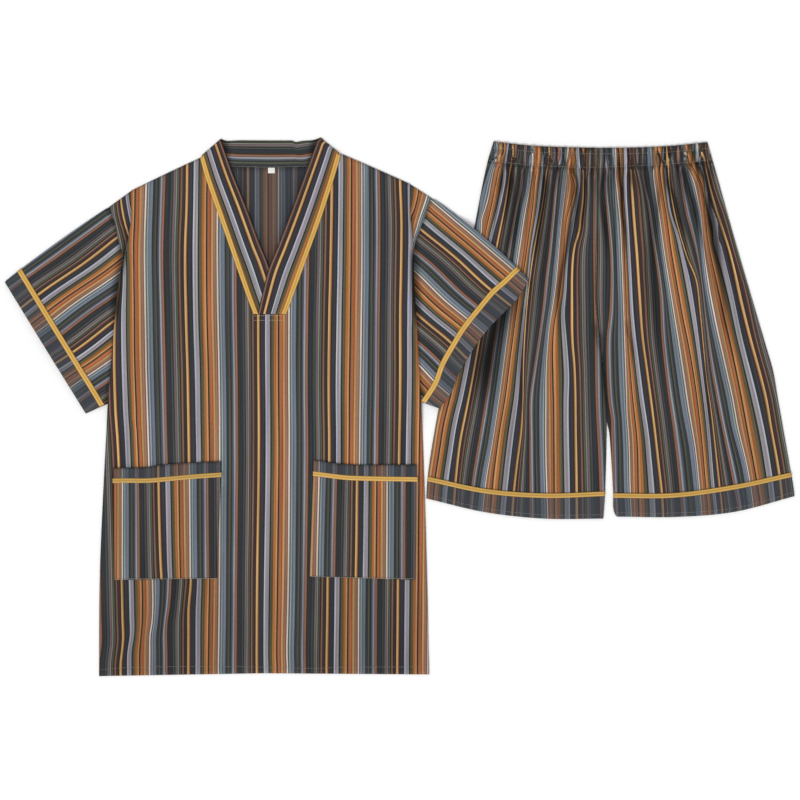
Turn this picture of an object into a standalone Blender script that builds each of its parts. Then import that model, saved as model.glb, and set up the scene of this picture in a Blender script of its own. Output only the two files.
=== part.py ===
# Sauna suit laid flat: a V-neck top with short sleeves and two patch pockets, and gathered shorts.
# The back panels lie on the surface, the fronts lie on them, and the right sleeve lies on the shorts.
# Left and right are as seen from above with the neck away.

from collections import namedtuple
import math

import bmesh
import bpy
from mathutils import Vector

# Plan sizes and heights are in millimetres, and become metres where a mesh is made.
mm = 0.001

cloth = 1.2               # wall of one layer
double = 2.0              # wall where a hem is turned back on itself
casing_wall = 1.6         # wall of the waist casing, pulled thin by its elastic
band_wall = 1.4           # folded collar strip
tape_wall = 1.0
tape_width = 7.0
gap = 0.3                 # between pieces that are sewn or lie together
sleeve_hem = 27.0         # from a cuff to the middle of its tape
tape_short = 0.3          # of a sleeve's last strip, bare of tape at the underarm

# Each garment has its own frame: X across, Y up from the hem towards the neck or waist.
top_place = Vector((-196.5, -390.1, 0.0))
shorts_place = Vector((290.7, -162.8, 0.0))

front_rest = cloth + gap  # underside of a front that lies on its back
sleeve_rest = 0.15        # underside of a sleeve on the surface
sleeve_rise = 1.7         # and where it lies on the back panel
body_rise = 3.6           # of the front panel where it lies on a sleeve
neck_rise = 1.6           # of the front panel below the crossed collar ends
body_ease = 1.2           # how far the front stands off the back between hem and chest
sleeve_puff = 2.2         # how far a sleeve's upper layer stands off its lower one
shorts_bed = 4.4          # height of the sleeve that lies on the shorts
under_sleeve = 0.14       # share of their height that the shorts' folds keep below the sleeve

# Where the front begins to rise over the sleeves and is down again, in height and from its edges.
rise_begins = (345.0, 390.0)
rise_ends = (622.0, 676.0)
rise_from_edge = (18.0, 75.0)
neck_foot = (9.0, 524.0)
rise_from_neck = (30.0, 130.0)


# Outline of the top's body: armhole seams above 614, where the shoulder drops on to the sleeve.
Side = namedtuple("Side", "up left right")
top_sides = (
    Side(0, -239.5, 239.5),
    Side(143, -238.4, 236.4),
    Side(306, -231.4, 231.6),
    Side(390, -226.6, 228.4),
    Side(442, -222.3, 225.2),
    Side(515, -216.3, 221.4),
    Side(573, -209.7, 217.6),
    Side(614, -200.1, 216.6),
    Side(623, -205.3, 218.5),
    Side(637, -209.5, 222.6),
    Side(655, -214.6, 231.0),
    Side(678, -226.5, 238.2),
    Side(692, -226.5, 243.5),
)

# Grain lines of the panels: how far across each runs at the hem, at the foot and the mouth of
# the pockets, and at the chest, where it meets the top edge, and the columns before the next.
Grain = namedtuple("Grain", "hem foot mouth chest top top_up columns")
front_grains = (
    Grain(-239.5, -238.4, -231.4, -219.5, -226.5, 678.0, 2),
    Grain(-216.0, -216.9, -218.4, -206.0, -189.5, 705.0, 5),
    Grain(-106.0, -104.0, -100.0, -97.0, -92.0, 751.0, 2),
    Grain(-71.0, -67.9, -61.6, -56.0, -61.6, 664.0, 3),
    Grain(-22.0, -20.0, -17.0, -14.0, -12.5, 523.7, 2),
    Grain(32.0, 31.0, 30.5, 30.0, 29.5, 523.7, 3),
    Grain(64.0, 66.7, 72.1, 75.0, 80.2, 663.0, 2),
    Grain(112.0, 112.0, 111.0, 110.0, 111.5, 756.8, 5),
    Grain(219.0, 219.4, 221.4, 212.0, 208.8, 714.0, 2),
    Grain(239.5, 236.4, 231.6, 223.0, 243.5, 692.0, 0),
)
back_grains = (
    Grain(-239.5, -238.4, -231.4, -219.5, -226.5, 678.0, 1),
    Grain(-195.0, -194.0, -190.0, -185.0, -189.5, 705.0, 2),
    Grain(-106.0, -104.0, -100.0, -97.0, -92.5, 750.3, 1),
    Grain(-50.0, -50.0, -49.0, -48.0, -48.0, 738.7, 1),
    Grain(0.0, 2.0, 4.0, 6.0, 7.0, 737.2, 1),
    Grain(55.0, 56.0, 58.0, 60.0, 62.8, 738.7, 1),
    Grain(112.0, 112.0, 111.0, 110.0, 111.5, 755.4, 2),
    Grain(196.0, 196.0, 195.0, 194.0, 208.8, 714.0, 1),
    Grain(239.5, 236.4, 231.6, 223.0, 243.5, 692.0, 0),
)

# Rows of the panels from the hem to the chest. A row rises by its crown at the middle and by
# its tilt for each millimetre across.
Row = namedtuple("Row", "name up crown tilt")
front_rows = (
    Row("hem", 0, 3.0, 0.005),
    Row("", 45, 3.0, 0.003),
    Row("", 92, 3.0, 0.0),
    Row("pocket foot", 139.5, 3.5, 0.0),
    Row("", 185, 4.0, 0.002),
    Row("", 235, 5.0, 0.004),
    Row("tape foot", 281, 7.0, 0.0075),
    Row("tape head", 288, 7.0, 0.0075),
    Row("pocket mouth", 303, 6.0, 0.0115),
    Row("", 346, 4.0, 0.006),
    Row("", 391, 2.0, 0.0),
    Row("", 436, 1.0, 0.0),
    Row("chest", 480, 0.0, 0.0),
)
back_rows = (front_rows[0], front_rows[3], front_rows[8], front_rows[10], front_rows[12])
upper_rows = (0.17, 0.34, 0.50, 0.66, 0.75, 0.88, 1.0)   # shares of the way to the top edge
pocket_grains = {"left": (1, 3), "right": (6, 8)}


# Lines of the sleeves, from the upper fold to the underarm: the armhole end and the cuff end.
# Below the armhole seam's foot the armhole end lies between the front and the back.
Line = namedtuple("Line", "arm arm_up cuff cuff_up")
left_sleeve = (
    Line(-227.4, 677.6, -376.1, 570.7),
    Line(-214.6, 651.0, -361.4, 546.8),
    Line(-206.2, 625.0, -346.7, 523.0),
    Line(-193.6, 596.7, -332.0, 499.1),
    Line(-195.0, 561.9, -317.3, 475.3),
    Line(-197.9, 525.6, -302.6, 451.4),
    Line(-202.3, 489.4, -287.9, 427.5),
    Line(-205.9, 443.0, -273.2, 403.7),
    Line(-210.3, 401.0, -258.5, 379.8),
)
right_sleeve = (
    Line(244.1, 691.2, 383.2, 572.6),
    Line(235.4, 663.3, 368.6, 547.8),
    Line(224.8, 640.0, 348.9, 527.3),
    Line(211.0, 604.0, 329.0, 507.0),
    Line(205.5, 568.0, 311.1, 485.0),
    Line(206.0, 530.0, 295.9, 460.9),
    Line(208.0, 488.0, 281.5, 436.4),
    Line(210.5, 445.0, 271.1, 410.0),
    Line(213.2, 402.0, 254.8, 386.7),
)


# How far the upper fold of each sleeve bows out from a straight line.
sleeve_bow = {"left": 2.5, "right": 6.2}

# Collar strip, from its left end up, round the back of the neck and down to its right end:
# the sewn edge, the free edge and the height of each, and of the middle between them.
Station = namedtuple("Station", "seam seam_up free free_up seam_high mid_high free_high")
collar_left = (
    Station(-11.7, 524.1, 28.4, 524.1, 2.6, 2.6, 2.6),
    Station(-23.2, 555.3, 16.4, 563.3, 2.6, 2.6, 2.6),
    Station(-34.2, 586.6, 4.8, 600.0, 2.6, 2.6, 2.6),
    Station(-43.2, 612.4, -6.4, 627.1, 2.6, 2.8, 2.6),
    Station(-62.2, 667.3, -25.7, 679.3, 2.6, 2.9, 2.7),
    Station(-80.0, 718.2, -45.7, 729.3, 2.8, 3.1, 2.9),
    Station(-89.8, 751.7, -61.8, 774.3, 3.0, 3.0, 3.0),
)
collar_back = (
    Station(-90.9, 753.5, -63.4, 777.8, 2.0, 2.0, 2.0),
    Station(-90.2, 753.3, -62.4, 778.2, 0.95, 0.95, 0.95),
    Station(-72.5, 745.4, -53.7, 775.4, 0.95, 0.95, 0.95),
    Station(-48.0, 739.4, -34.8, 776.0, 0.95, 0.95, 0.95),
    Station(-20.3, 738.4, -13.0, 775.9, 0.95, 0.95, 0.95),
    Station(7.3, 738.0, 8.7, 775.8, 0.95, 0.95, 0.95),
    Station(37.7, 738.4, 33.4, 775.6, 0.95, 0.95, 0.95),
    Station(62.8, 739.4, 55.1, 775.2, 0.95, 0.95, 0.95),
    Station(89.0, 748.4, 71.0, 776.5, 0.95, 0.95, 0.95),
    Station(108.4, 757.3, 82.2, 780.3, 0.95, 0.95, 0.95),
    Station(109.2, 757.7, 83.0, 780.4, 2.0, 2.0, 2.0),
)
collar_right = (
    Station(108.3, 755.8, 77.1, 775.0, 3.0, 3.0, 3.0),
    Station(97.9, 720.2, 61.3, 732.1, 2.8, 3.1, 2.9),
    Station(79.4, 663.3, 40.5, 675.7, 2.6, 3.0, 3.2),
    Station(61.2, 612.4, 21.2, 625.0, 2.8, 3.6, 4.3),
    Station(48.8, 577.9, 7.0, 589.9, 3.4, 4.3, 4.4),
    Station(37.0, 545.3, -1.5, 557.5, 4.2, 4.4, 4.4),
    Station(28.9, 524.1, -7.4, 524.1, 4.3, 4.3, 4.3),
)


# Outline of the legs of the shorts, and of the seam between them above the crotch at 139.
left_leg_sides = (
    Side(0, -252.0, 4.5),
    Side(29, -251.9, 6.2),
    Side(62, -249.8, 7.0),
    Side(139, -237.8, 8.9),
    Side(172, -231.5, 8.5),
    Side(213, -223.5, 5.3),
    Side(253, -215.6, 0.0),
    Side(323, -201.8, -6.2),
    Side(420, -182.7, -5.0),
    Side(520, -162.4, -3.6),
    Side(547, -154.3, -2.4),
)
right_leg_sides = (
    Side(0, 27.0, 283.0),
    Side(7, 21.6, 283.0),
    Side(37, 18.7, 281.8),
    Side(78, 14.5, 275.1),
    Side(139, 9.6, 264.4),
    Side(172, 8.8, 258.5),
    Side(213, 5.6, 251.4),
    Side(253, 0.4, 240.0),
    Side(323, -5.8, 219.5),
    Side(420, -4.6, 191.4),
    Side(520, -3.2, 163.4),
    Side(547, -2.0, 155.6),
)

# Height up of the lines that cross a leg, from its left side to its right side.
Level = namedtuple("Level", "name first second third last")
left_levels = (
    Level("hem", 29.3, 9.3, 0.0, 0.0),
    Level("tape", 57.9, 40.0, 33.5, 36.3),
    Level("casing", 519.7, 513.6, 510.5, 509.5),
    Level("waist", 547.4, 541.6, 539.0, 538.0),
)
right_levels = (
    Level("hem", 2.9, 2.5, 9.9, 32.6),
    Level("tape", 33.6, 34.0, 45.7, 63.9),
    Level("casing", 509.5, 511.7, 515.0, 520.8),
    Level("waist", 537.8, 538.4, 540.9, 546.2),
)
# Rows between the tape and the casing, as shares of the way up.
leg_rows_between = (0.14, 0.28, 0.42, 0.54, 0.65, 0.74, 0.82, 0.88, 0.94)

# Gathers of each leg from its left side: how wide, how high, and how far down they reach.
Gather = namedtuple("Gather", "wide high reach")
left_gathers = (
    Gather(8.0, 1.8, 120), Gather(10.0, 3.0, 300), Gather(9.0, 2.6, 200),
    Gather(11.0, 3.4, 260), Gather(10.0, 3.6, 330), Gather(7.0, 2.2, 120),
    Gather(8.0, 2.8, 180), Gather(4.8, 1.8, 90), Gather(5.0, 2.0, 110),
    Gather(8.0, 3.2, 330), Gather(6.0, 2.4, 140), Gather(6.5, 3.0, 300),
    Gather(6.0, 1.8, 100), Gather(5.0, 1.6, 90), Gather(6.5, 1.8, 160),
)
right_gathers = (
    Gather(7.5, 1.8, 160), Gather(8.0, 3.0, 330), Gather(7.0, 3.2, 300),
    Gather(7.7, 2.8, 200), Gather(7.3, 2.4, 140), Gather(7.0, 2.0, 110),
    Gather(8.0, 3.0, 280), Gather(7.0, 2.4, 150), Gather(6.4, 2.4, 170),
    Gather(7.0, 3.0, 320), Gather(6.6, 2.4, 130), Gather(7.5, 3.2, 300),
    Gather(9.5, 3.2, 340), Gather(9.6, 3.4, 330), Gather(8.0, 1.8, 140),
)
columns_in_gather = 4
seam_margin = 0.012       # share of a leg that lies flat beside each seam

# Broad folds that fall from the gathers: share across the leg, half width as a share, height,
# and how far below the waist each begins and ends.
Fold = namedtuple("Fold", "share half high head foot")
left_folds = (
    Fold(0.24, 0.050, 3.0, 20, 330),
    Fold(0.52, 0.045, 4.0, 20, 400),
    Fold(0.83, 0.040, 3.4, 20, 340),
)
right_folds = (
    Fold(0.17, 0.040, 3.2, 10, 230),
    Fold(0.42, 0.045, 2.4, 20, 320),
    Fold(0.66, 0.035, 3.4, 40, 430),
    Fold(0.76, 0.040, 4.0, 20, 350),
    Fold(0.90, 0.035, 2.6, 20, 300),
)

label_size = Vector((10.0, 8.0, 1.0))
label_middle = (10.7, 732.4)


# Small measures used by every piece.

def ease(value, low, high):
    share = min(1.0, max(0.0, (value - low) / (high - low)))
    return share * share * (3.0 - 2.0 * share)


def mix(first, second, share):
    return first + (second - first) * share


def mix_rows(first, second, share):
    return type(first)(*(mix(a, b, share) for a, b in zip(first, second)))


def part_way(first, second, share):
    return [tuple(mix(a, b, share) for a, b in zip(p, q)) for p, q in zip(first, second)]


def read(rows, at, column):
    # A column of an outline, read between its rows.
    below = rows[0]
    for row in rows:
        if row.up >= at:
            if row.up == below.up:
                return getattr(row, column)
            share = (at - below.up) / (row.up - below.up)
            return mix(getattr(below, column), getattr(row, column), share)
        below = row
    return getattr(below, column)


# The objects.

def finish(name, red, green, blue, roughness):
    material = bpy.data.materials.new(name)
    material.use_nodes = True
    shader = material.node_tree.nodes["Principled BSDF"]
    shader.inputs["Base Color"].default_value = (red, green, blue, 1.0)
    shader.inputs["Roughness"].default_value = roughness
    shader.inputs["Metallic"].default_value = 0.0
    return material


def striped(name):
    return finish(name + " striped cotton", 0.115, 0.098, 0.090, 0.85)


def golden(name):
    return finish(name + " satin tape", 0.760, 0.430, 0.070, 0.45)


def add(name, mesh, material, parent):
    mesh.materials.append(material)
    piece = bpy.data.objects.new(name, mesh)
    piece.parent = parent
    suit.objects.link(piece)
    return piece


def sheet(name, places, material, parent, wall=cloth, shares=None, joined=False):
    # A wall of cloth: its underside is a grid of places, and it thickens away from them.
    columns = len(places) - 1
    rows = len(places[0]) - 1
    shape = bmesh.new()
    bmesh.ops.create_grid(shape, x_segments=columns, y_segments=rows, size=0.5)
    weights = []
    for point in shape.verts:
        column = round((point.co.x + 0.5) * columns)
        row = round((point.co.y + 0.5) * rows)
        point.co = Vector(places[column][row]) * mm
        weights.append(shares[column][row] if shares else 1.0)
    mesh = bpy.data.meshes.new(name)
    if joined:
        layer = shape.verts.layers.deform.verify()
        for point, weight in zip(shape.verts, weights):
            point[layer][0] = weight
        bmesh.ops.remove_doubles(shape, verts=shape.verts, dist=0.00001)
    shape.to_mesh(mesh)
    shape.free()
    mesh.shade_smooth()
    mesh.set_sharp_from_angle(angle=math.radians(50))
    piece = add(name, mesh, material, parent)
    group = piece.vertex_groups.new(name="wall")
    if not joined:
        for index, weight in enumerate(weights):
            group.add([index], weight, "REPLACE")
    thicken = piece.modifiers.new("wall", "SOLIDIFY")
    thicken.thickness = wall * mm
    thicken.offset = 1.0
    thicken.use_even_offset = True
    thicken.vertex_group = "wall"
    return piece


# The top's panels.

def front_floor(across, up):
    # Underside of the front: on the back, but raised over the sleeves and the collar's ends.
    left = across - read(top_sides, up, "left")
    right = read(top_sides, up, "right") - across
    over_sleeve = ease(up, *rise_begins) * (1.0 - ease(up, *rise_ends))
    beside = 1.0 - ease(min(left, right), *rise_from_edge)
    from_neck = math.hypot(across - neck_foot[0], up - neck_foot[1])
    under_neck = 1.0 - ease(from_neck, *rise_from_neck)
    waist = ease(min(left, right), 0, 110) * ease(up, 0, 160) * (1.0 - ease(up, 330, 520))
    return (front_rest + body_rise * over_sleeve * beside + neck_rise * under_neck
            + body_ease * waist)


def panel_plan(grains, rows):
    # Places in plan, by column and row: level rows up to the chest, then rows shared out to
    # the top edge.
    lines = []
    for grain, following in zip(grains, grains[1:]):
        for step in range(grain.columns):
            lines.append(mix_rows(grain, following, step / grain.columns))
    lines.append(grains[-1])
    chest_up = rows[-1].up
    chest_left = read(top_sides, chest_up, "left")
    chest_wide = read(top_sides, chest_up, "right") - chest_left
    plan = []
    for number, line in enumerate(lines):
        places = []
        for row in rows:
            heights = (0.0, 140.0, 305.0, 480.0)
            stops = (line.hem, line.foot, line.mouth, line.chest)
            across = stops[-1]
            for low, high, start, end in zip(heights, heights[1:], stops, stops[1:]):
                if row.up < high:
                    across = mix(start, end, (row.up - low) / (high - low))
                    break
            up = row.up + row.crown * (1.0 - abs(across) / 240.0) + row.tilt * across
            if number in (0, len(lines) - 1):
                across = read(top_sides, up, "left" if number == 0 else "right")
            places.append((across, up))
        share_low = (line.chest - chest_left) / chest_wide
        edge_left = read(top_sides, line.top_up, "left")
        edge_right = read(top_sides, line.top_up, "right")
        share_high = (line.top - edge_left) / (edge_right - edge_left)
        for part in upper_rows:
            up = mix(chest_up, line.top_up, part)
            left = read(top_sides, up, "left")
            right = read(top_sides, up, "right")
            places.append((mix(left, right, mix(share_low, share_high, part)), up))
        plan.append(places)
    return plan


def column_of(grain_number):
    return sum(grain.columns for grain in front_grains[:grain_number])


def row_of(row_name):
    return [row.name for row in front_rows].index(row_name)


def add_front(plan, parent):
    places = [[(across, up, front_floor(across, up)) for across, up in line] for line in plan]
    sheet("shirt_front", places, striped("shirt front"), parent)


def add_back(parent):
    plan = panel_plan(back_grains, back_rows)
    places = [[(across, up, 0.0) for across, up in line] for line in plan]
    sheet("shirt_back", places, striped("shirt back"), parent)


def add_pocket(side, plan, parent):
    # The pocket lies on the front, its mouth turned out as a hem, and the tape on the hem's edge.
    first, last = (column_of(number) for number in pocket_grains[side])
    foot = row_of("pocket foot")
    tape_foot = row_of("tape foot")
    mouth = row_of("pocket mouth")
    lines = [line[foot:mouth + 1] for line in plan[first:last + 1]]
    hem_row = tape_foot + 1 - foot
    low = cloth + gap
    places = [[(x, y, front_floor(x, y) + low) for x, y in line] for line in lines]
    shares = [[1.0 if row >= hem_row else cloth / double for row in range(len(line))] for line in lines]
    sheet("pocket_" + side, places, striped("pocket " + side), parent, double, shares)
    tape = []
    for line in lines:
        x_low, y_low = line[hem_row - 1]
        x_high, y_high = line[hem_row]
        tape.append((
            (x_low, y_low, front_floor(x_low, y_low) + low + cloth + 2.0 * gap),
            (x_high, y_high, front_floor(x_high, y_high) + low + double + gap),
        ))
    sheet("pocket_tape_" + side, tape, golden("pocket tape " + side), parent, tape_wall)


# Sleeves, flattened tubes open at the cuff and at the armhole.

def sleeve_bed(side, across, up):
    # Height of what the sleeve lies on: the surface, the back panel's edge, or the shorts.
    edge = read(top_sides, up, side)
    outside = edge - across if side == "left" else across - edge
    rise = mix(sleeve_rest, sleeve_rise, (1.0 - ease(outside, 8, 30)) * (1.0 - ease(up, 645, 672)))
    if side == "right":
        shift = top_place - shorts_place
        leg_edge = read(left_leg_sides, up + shift.y, "left")
        inside = across + shift.x - leg_edge
        rise = max(rise, shorts_bed * ease(inside, -32, -6))
    return rise, outside


def sleeve_rows(line, count, bow):
    # Plan places along one line of a sleeve, from the armhole to the cuff.
    arm = Vector((line.arm, line.arm_up))
    cuff = Vector((line.cuff, line.cuff_up))
    along = (cuff - arm).length
    tape_low = 1.0 - (sleeve_hem - tape_width / 2.0) / along
    tape_high = 1.0 - (sleeve_hem + tape_width / 2.0) / along
    shares = [tape_high * part / count for part in range(count + 1)] + [tape_low, 1.0]
    sideways = math.copysign(arm.y - cuff.y, cuff.x)
    outward = Vector((sideways, abs(cuff.x - arm.x))).normalized()
    bowed = [bow * math.sqrt(max(0.0, math.sin(math.pi * share))) for share in shares]
    return [tuple(arm.lerp(cuff, share) + outward * off) for share, off in zip(shares, bowed)]


def add_sleeve(side, lines, count, parent):
    upper = lines[0]
    lower = lines[-1]
    inset = cloth / 224.0
    rows = []
    for number in range(len(lines)):
        line = lines[number]
        if number == 0:
            line = mix_rows(upper, lines[1], inset * (len(lines) - 1))
        if number == len(lines) - 1:
            line = mix_rows(lower, lines[-2], inset * (len(lines) - 1))
        upper_share = 1.0 - number / (len(lines) - 1)
        rows.append(sleeve_rows(line, count, sleeve_bow[side] * upper_share ** 2))
    under = []
    over = []
    for number, line in enumerate(rows):
        arch = math.sin(math.pi * number / (len(rows) - 1))
        low_line = []
        high_line = []
        for across, up in line:
            rise, outside = sleeve_bed(side, across, up)
            puff = sleeve_puff * arch * ease(outside, 10, 60)
            low_line.append((across, up, rise + cloth))
            high_line.append((across, up, rise + cloth + gap + puff))
        under.append(low_line)
        over.append(high_line)
    ring = over + under[::-1] + over[:1]
    if side == "left":
        ring = ring[::-1]
    thin = cloth / double
    last_row = len(rows[0]) - 1
    shares = []
    for number in range(len(ring)):
        place = number if side == "right" else len(ring) - 1 - number
        on_top = 0 < place < len(over) - 1
        shares.append([1.0 if on_top and row >= last_row - 1 else thin for row in range(last_row + 1)])
    sheet("sleeve_" + side, ring, striped("sleeve " + side), parent, double, shares, joined=True)
    tape = []
    for line in over[:-1] + [part_way(over[-1], over[-2], tape_short)]:
        x_high, y_high, z_high = line[-3]
        x_low, y_low, z_low = line[-2]
        tape.append([(x_low, y_low, z_low + double + gap), (x_high, y_high, z_high + cloth + 2.0 * gap)])
    if side == "right":
        tape = tape[::-1]
    sheet("sleeve_tape_" + side, tape, golden("sleeve tape " + side), parent, tape_wall)


# The collar.

def add_collar(parent):
    half = band_wall / 2.0
    places = []
    for stop in collar_left + collar_back + collar_right:
        middle = ((stop.seam + stop.free) / 2.0, (stop.seam_up + stop.free_up) / 2.0)
        places.append((
            (stop.seam, stop.seam_up, stop.seam_high),
            (middle[0], middle[1], stop.mid_high),
            (stop.free, stop.free_up, stop.free_high),
        ))
    places = [line[::-1] for line in places]
    band = sheet("collar_band", places, striped("collar band"), parent, band_wall)
    band.modifiers["wall"].offset = 0.0
    for side, stops in (("left", collar_left), ("right", collar_right)):
        tape = []
        for stop in stops:
            seam = Vector((stop.seam, stop.seam_up, 0.0))
            free = Vector((stop.free, stop.free_up, 0.0))
            inward = (free - seam).normalized() * tape_width / 2.0
            share = tape_width / (free - seam).length
            on_band = mix(stop.seam_high, stop.mid_high, share) + half + gap
            on_seam = max(stop.seam_high + half, front_floor(*seam.xy) + cloth) + 2.0 * gap
            outer = seam - inward
            on_panel = front_floor(*outer.xy) + cloth + 2.0 * gap
            tape.append((
                tuple(outer.xy) + (max(on_panel, on_seam - 0.6),),
                tuple(seam.xy) + (on_seam,),
                tuple((seam + inward).xy) + (max(on_band, on_seam - 0.3),),
            ))
        sheet("collar_tape_" + side, tape[::-1], golden("collar tape " + side), parent, tape_wall)


def add_label(parent):
    mesh = bpy.data.meshes.new("neck_label")
    shape = bmesh.new()
    bmesh.ops.create_cube(shape, size=1.0)
    bmesh.ops.scale(shape, vec=label_size * mm, verts=shape.verts)
    lift = cloth + gap + label_size.z / 2.0
    middle = Vector((label_middle[0], label_middle[1], lift)) * mm
    bmesh.ops.translate(shape, vec=middle, verts=shape.verts)
    shape.to_mesh(mesh)
    shape.free()
    add("neck_label", mesh, finish("blank label", 0.86, 0.86, 0.84, 0.6), parent)


# The shorts.

def level_up(level, share):
    # Height of a crossing line at a share of the way across the leg.
    stops = level[1:]
    place = share * (len(stops) - 1)
    first = min(int(place), len(stops) - 2)
    return mix(stops[first], stops[first + 1], place - first)


def leg_place(sides, share, up):
    return mix(read(sides, up, "left"), read(sides, up, "right"), share), up


def leg_plan(sides, levels, shares):
    hem, tape, casing, waist = levels
    plan = []
    for share in shares:
        tape_up = level_up(tape, share)
        casing_up = level_up(casing, share)
        heights = [level_up(hem, share), tape_up - tape_width / 2.0, tape_up + tape_width / 2.0]
        heights += [mix(tape_up, casing_up, part) for part in leg_rows_between]
        heights += [casing_up, level_up(waist, share)]
        plan.append([leg_place(sides, share, up) for up in heights])
    return plan


def gather_shares(gathers):
    # Shares across the leg at the foot, the flanks and the crest of each gather.
    whole = sum(gather.wide for gather in gathers)
    shares = [0.0]
    start = 0.0
    for gather in gathers:
        for part in range(columns_in_gather):
            place = (start + gather.wide * part / columns_in_gather) / whole
            shares.append(mix(seam_margin, 1.0 - seam_margin, place))
        start += gather.wide
    return shares + [1.0 - seam_margin, 1.0]


def pressed(across, up):
    # How freely the shorts' folds stand: hardly at all where the sleeve lies on them.
    shift = shorts_place - top_place
    place = Vector((across + shift.x, up + shift.y))
    head = Vector((right_sleeve[0].cuff, right_sleeve[0].cuff_up))
    foot = Vector((right_sleeve[-1].cuff, right_sleeve[-1].cuff_up))
    fold = Vector((right_sleeve[0].arm, right_sleeve[0].arm_up))
    cuff_way = (foot - head).normalized()
    beyond_cuff = Vector((-cuff_way.y, cuff_way.x)).dot(place - head)
    fold_way = (head - fold).normalized()
    above_fold = Vector((-fold_way.y, fold_way.x)).dot(place - head) - sleeve_bow["right"]
    below_foot = foot.y - place.y
    clear = max(beyond_cuff, above_fold, below_foot)
    return mix(under_sleeve, 1.0, ease(clear, 14, 44))


def leg_floor(gathers, folds, share, across, up, waist_up):
    # Underside of a front leg: on the back leg, raised by the gathers and the folds.
    depth = waist_up - up
    whole = sum(gather.wide for gather in gathers)
    start = 0.0
    high = 0.0
    place = (share - seam_margin) / (1.0 - 2.0 * seam_margin)
    for gather in gathers:
        part = (place * whole - start) / gather.wide
        if 0.0 < part < 1.0:
            wave = 0.5 - 0.5 * math.cos(2.0 * math.pi * part)
            high += gather.high * wave * (1.0 - ease(depth, 0.25 * gather.reach, gather.reach))
        start += gather.wide
    for fold in folds:
        off = (share - fold.share) / fold.half
        fall = ease(depth, fold.head, fold.head + 80) * (1.0 - ease(depth, 0.55 * fold.foot, fold.foot))
        edge = ease(min(share, 1.0 - share), seam_margin, 0.06)
        high += fold.high * math.exp(-off * off) * fall * edge
    return front_rest + high * pressed(across, up)


def add_leg(side, sides, levels, gathers, folds, parent):
    back_plan = leg_plan(sides, levels, [part / 6.0 for part in range(7)])
    back = [[(across, up, 0.0) for across, up in line] for line in back_plan]
    sheet("shorts_back_" + side, back, striped("shorts back " + side), parent)

    shares_across = gather_shares(gathers)
    front = []
    walls = []
    tape = []
    for share, line in zip(shares_across, leg_plan(sides, levels, shares_across)):
        waist_up = level_up(levels[3], share)
        places = [(x, y, leg_floor(gathers, folds, share, x, y, waist_up)) for x, y in line]
        front.append(places)
        casing_share = casing_wall / double
        walls.append([1.0, 1.0] + [cloth / double] * (len(places) - 4) + [casing_share, casing_share])
        x_low, y_low, z_low = places[1]
        x_high, y_high, z_high = places[2]
        tape.append(((x_low, y_low, z_low + double + gap), (x_high, y_high, z_high + cloth + 2.0 * gap)))
    sheet("shorts_front_" + side, front, striped("shorts front " + side), parent, double, walls)
    sheet("shorts_tape_" + side, tape, golden("shorts tape " + side), parent, tape_wall)


def add_frame(name, place):
    frame = bpy.data.objects.new(name, None)
    frame.location = place * mm
    suit.objects.link(frame)
    return frame


for old in list(bpy.data.objects):
    bpy.data.objects.remove(old, do_unlink=True)
suit = bpy.data.collections.new("sauna suit")
bpy.context.scene.collection.children.link(suit)

top_frame = add_frame("top frame", top_place)
front_plan = panel_plan(front_grains, front_rows)
add_back(top_frame)
add_front(front_plan, top_frame)
for pocket_side in ("left", "right"):
    add_pocket(pocket_side, front_plan, top_frame)
add_sleeve("left", left_sleeve, 6, top_frame)
add_sleeve("right", right_sleeve, 12, top_frame)
add_collar(top_frame)
add_label(top_frame)

shorts_frame = add_frame("shorts frame", shorts_place)
add_leg("left", left_leg_sides, left_levels, left_gathers, left_folds, shorts_frame)
add_leg("right", right_leg_sides, right_levels, right_gathers, right_folds, shorts_frame)
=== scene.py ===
from bisect import bisect_right
from collections import namedtuple
import math

import bmesh
import bpy
from mathutils import Matrix, Vector, noise


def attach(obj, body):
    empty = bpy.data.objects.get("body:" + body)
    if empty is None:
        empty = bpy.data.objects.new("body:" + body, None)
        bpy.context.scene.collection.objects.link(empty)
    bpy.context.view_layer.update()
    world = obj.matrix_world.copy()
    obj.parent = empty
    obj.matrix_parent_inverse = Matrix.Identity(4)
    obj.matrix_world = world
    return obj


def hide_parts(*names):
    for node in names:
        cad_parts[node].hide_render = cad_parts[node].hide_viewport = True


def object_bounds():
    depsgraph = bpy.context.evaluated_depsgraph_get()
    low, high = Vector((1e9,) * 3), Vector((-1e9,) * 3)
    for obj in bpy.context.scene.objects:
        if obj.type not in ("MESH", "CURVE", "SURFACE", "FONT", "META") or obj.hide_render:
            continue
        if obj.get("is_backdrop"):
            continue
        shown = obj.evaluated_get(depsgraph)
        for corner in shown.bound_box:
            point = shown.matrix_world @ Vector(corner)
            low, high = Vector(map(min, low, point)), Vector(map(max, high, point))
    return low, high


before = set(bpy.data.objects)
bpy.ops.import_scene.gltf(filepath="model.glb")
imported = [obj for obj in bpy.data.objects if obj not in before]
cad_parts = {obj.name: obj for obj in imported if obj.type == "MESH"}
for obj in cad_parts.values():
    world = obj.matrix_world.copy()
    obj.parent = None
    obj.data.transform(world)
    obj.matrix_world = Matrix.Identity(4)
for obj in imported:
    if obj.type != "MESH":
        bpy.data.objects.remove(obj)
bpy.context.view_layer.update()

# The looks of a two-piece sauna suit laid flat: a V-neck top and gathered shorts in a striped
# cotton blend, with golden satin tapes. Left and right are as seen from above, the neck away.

# Measures are in millimetres. Each garment has its own corner, X across and Y up to the neck
# or the waist, as in the part's own source. A pixel is one of the photo's 800 by 800.
mm = 0.001
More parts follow.
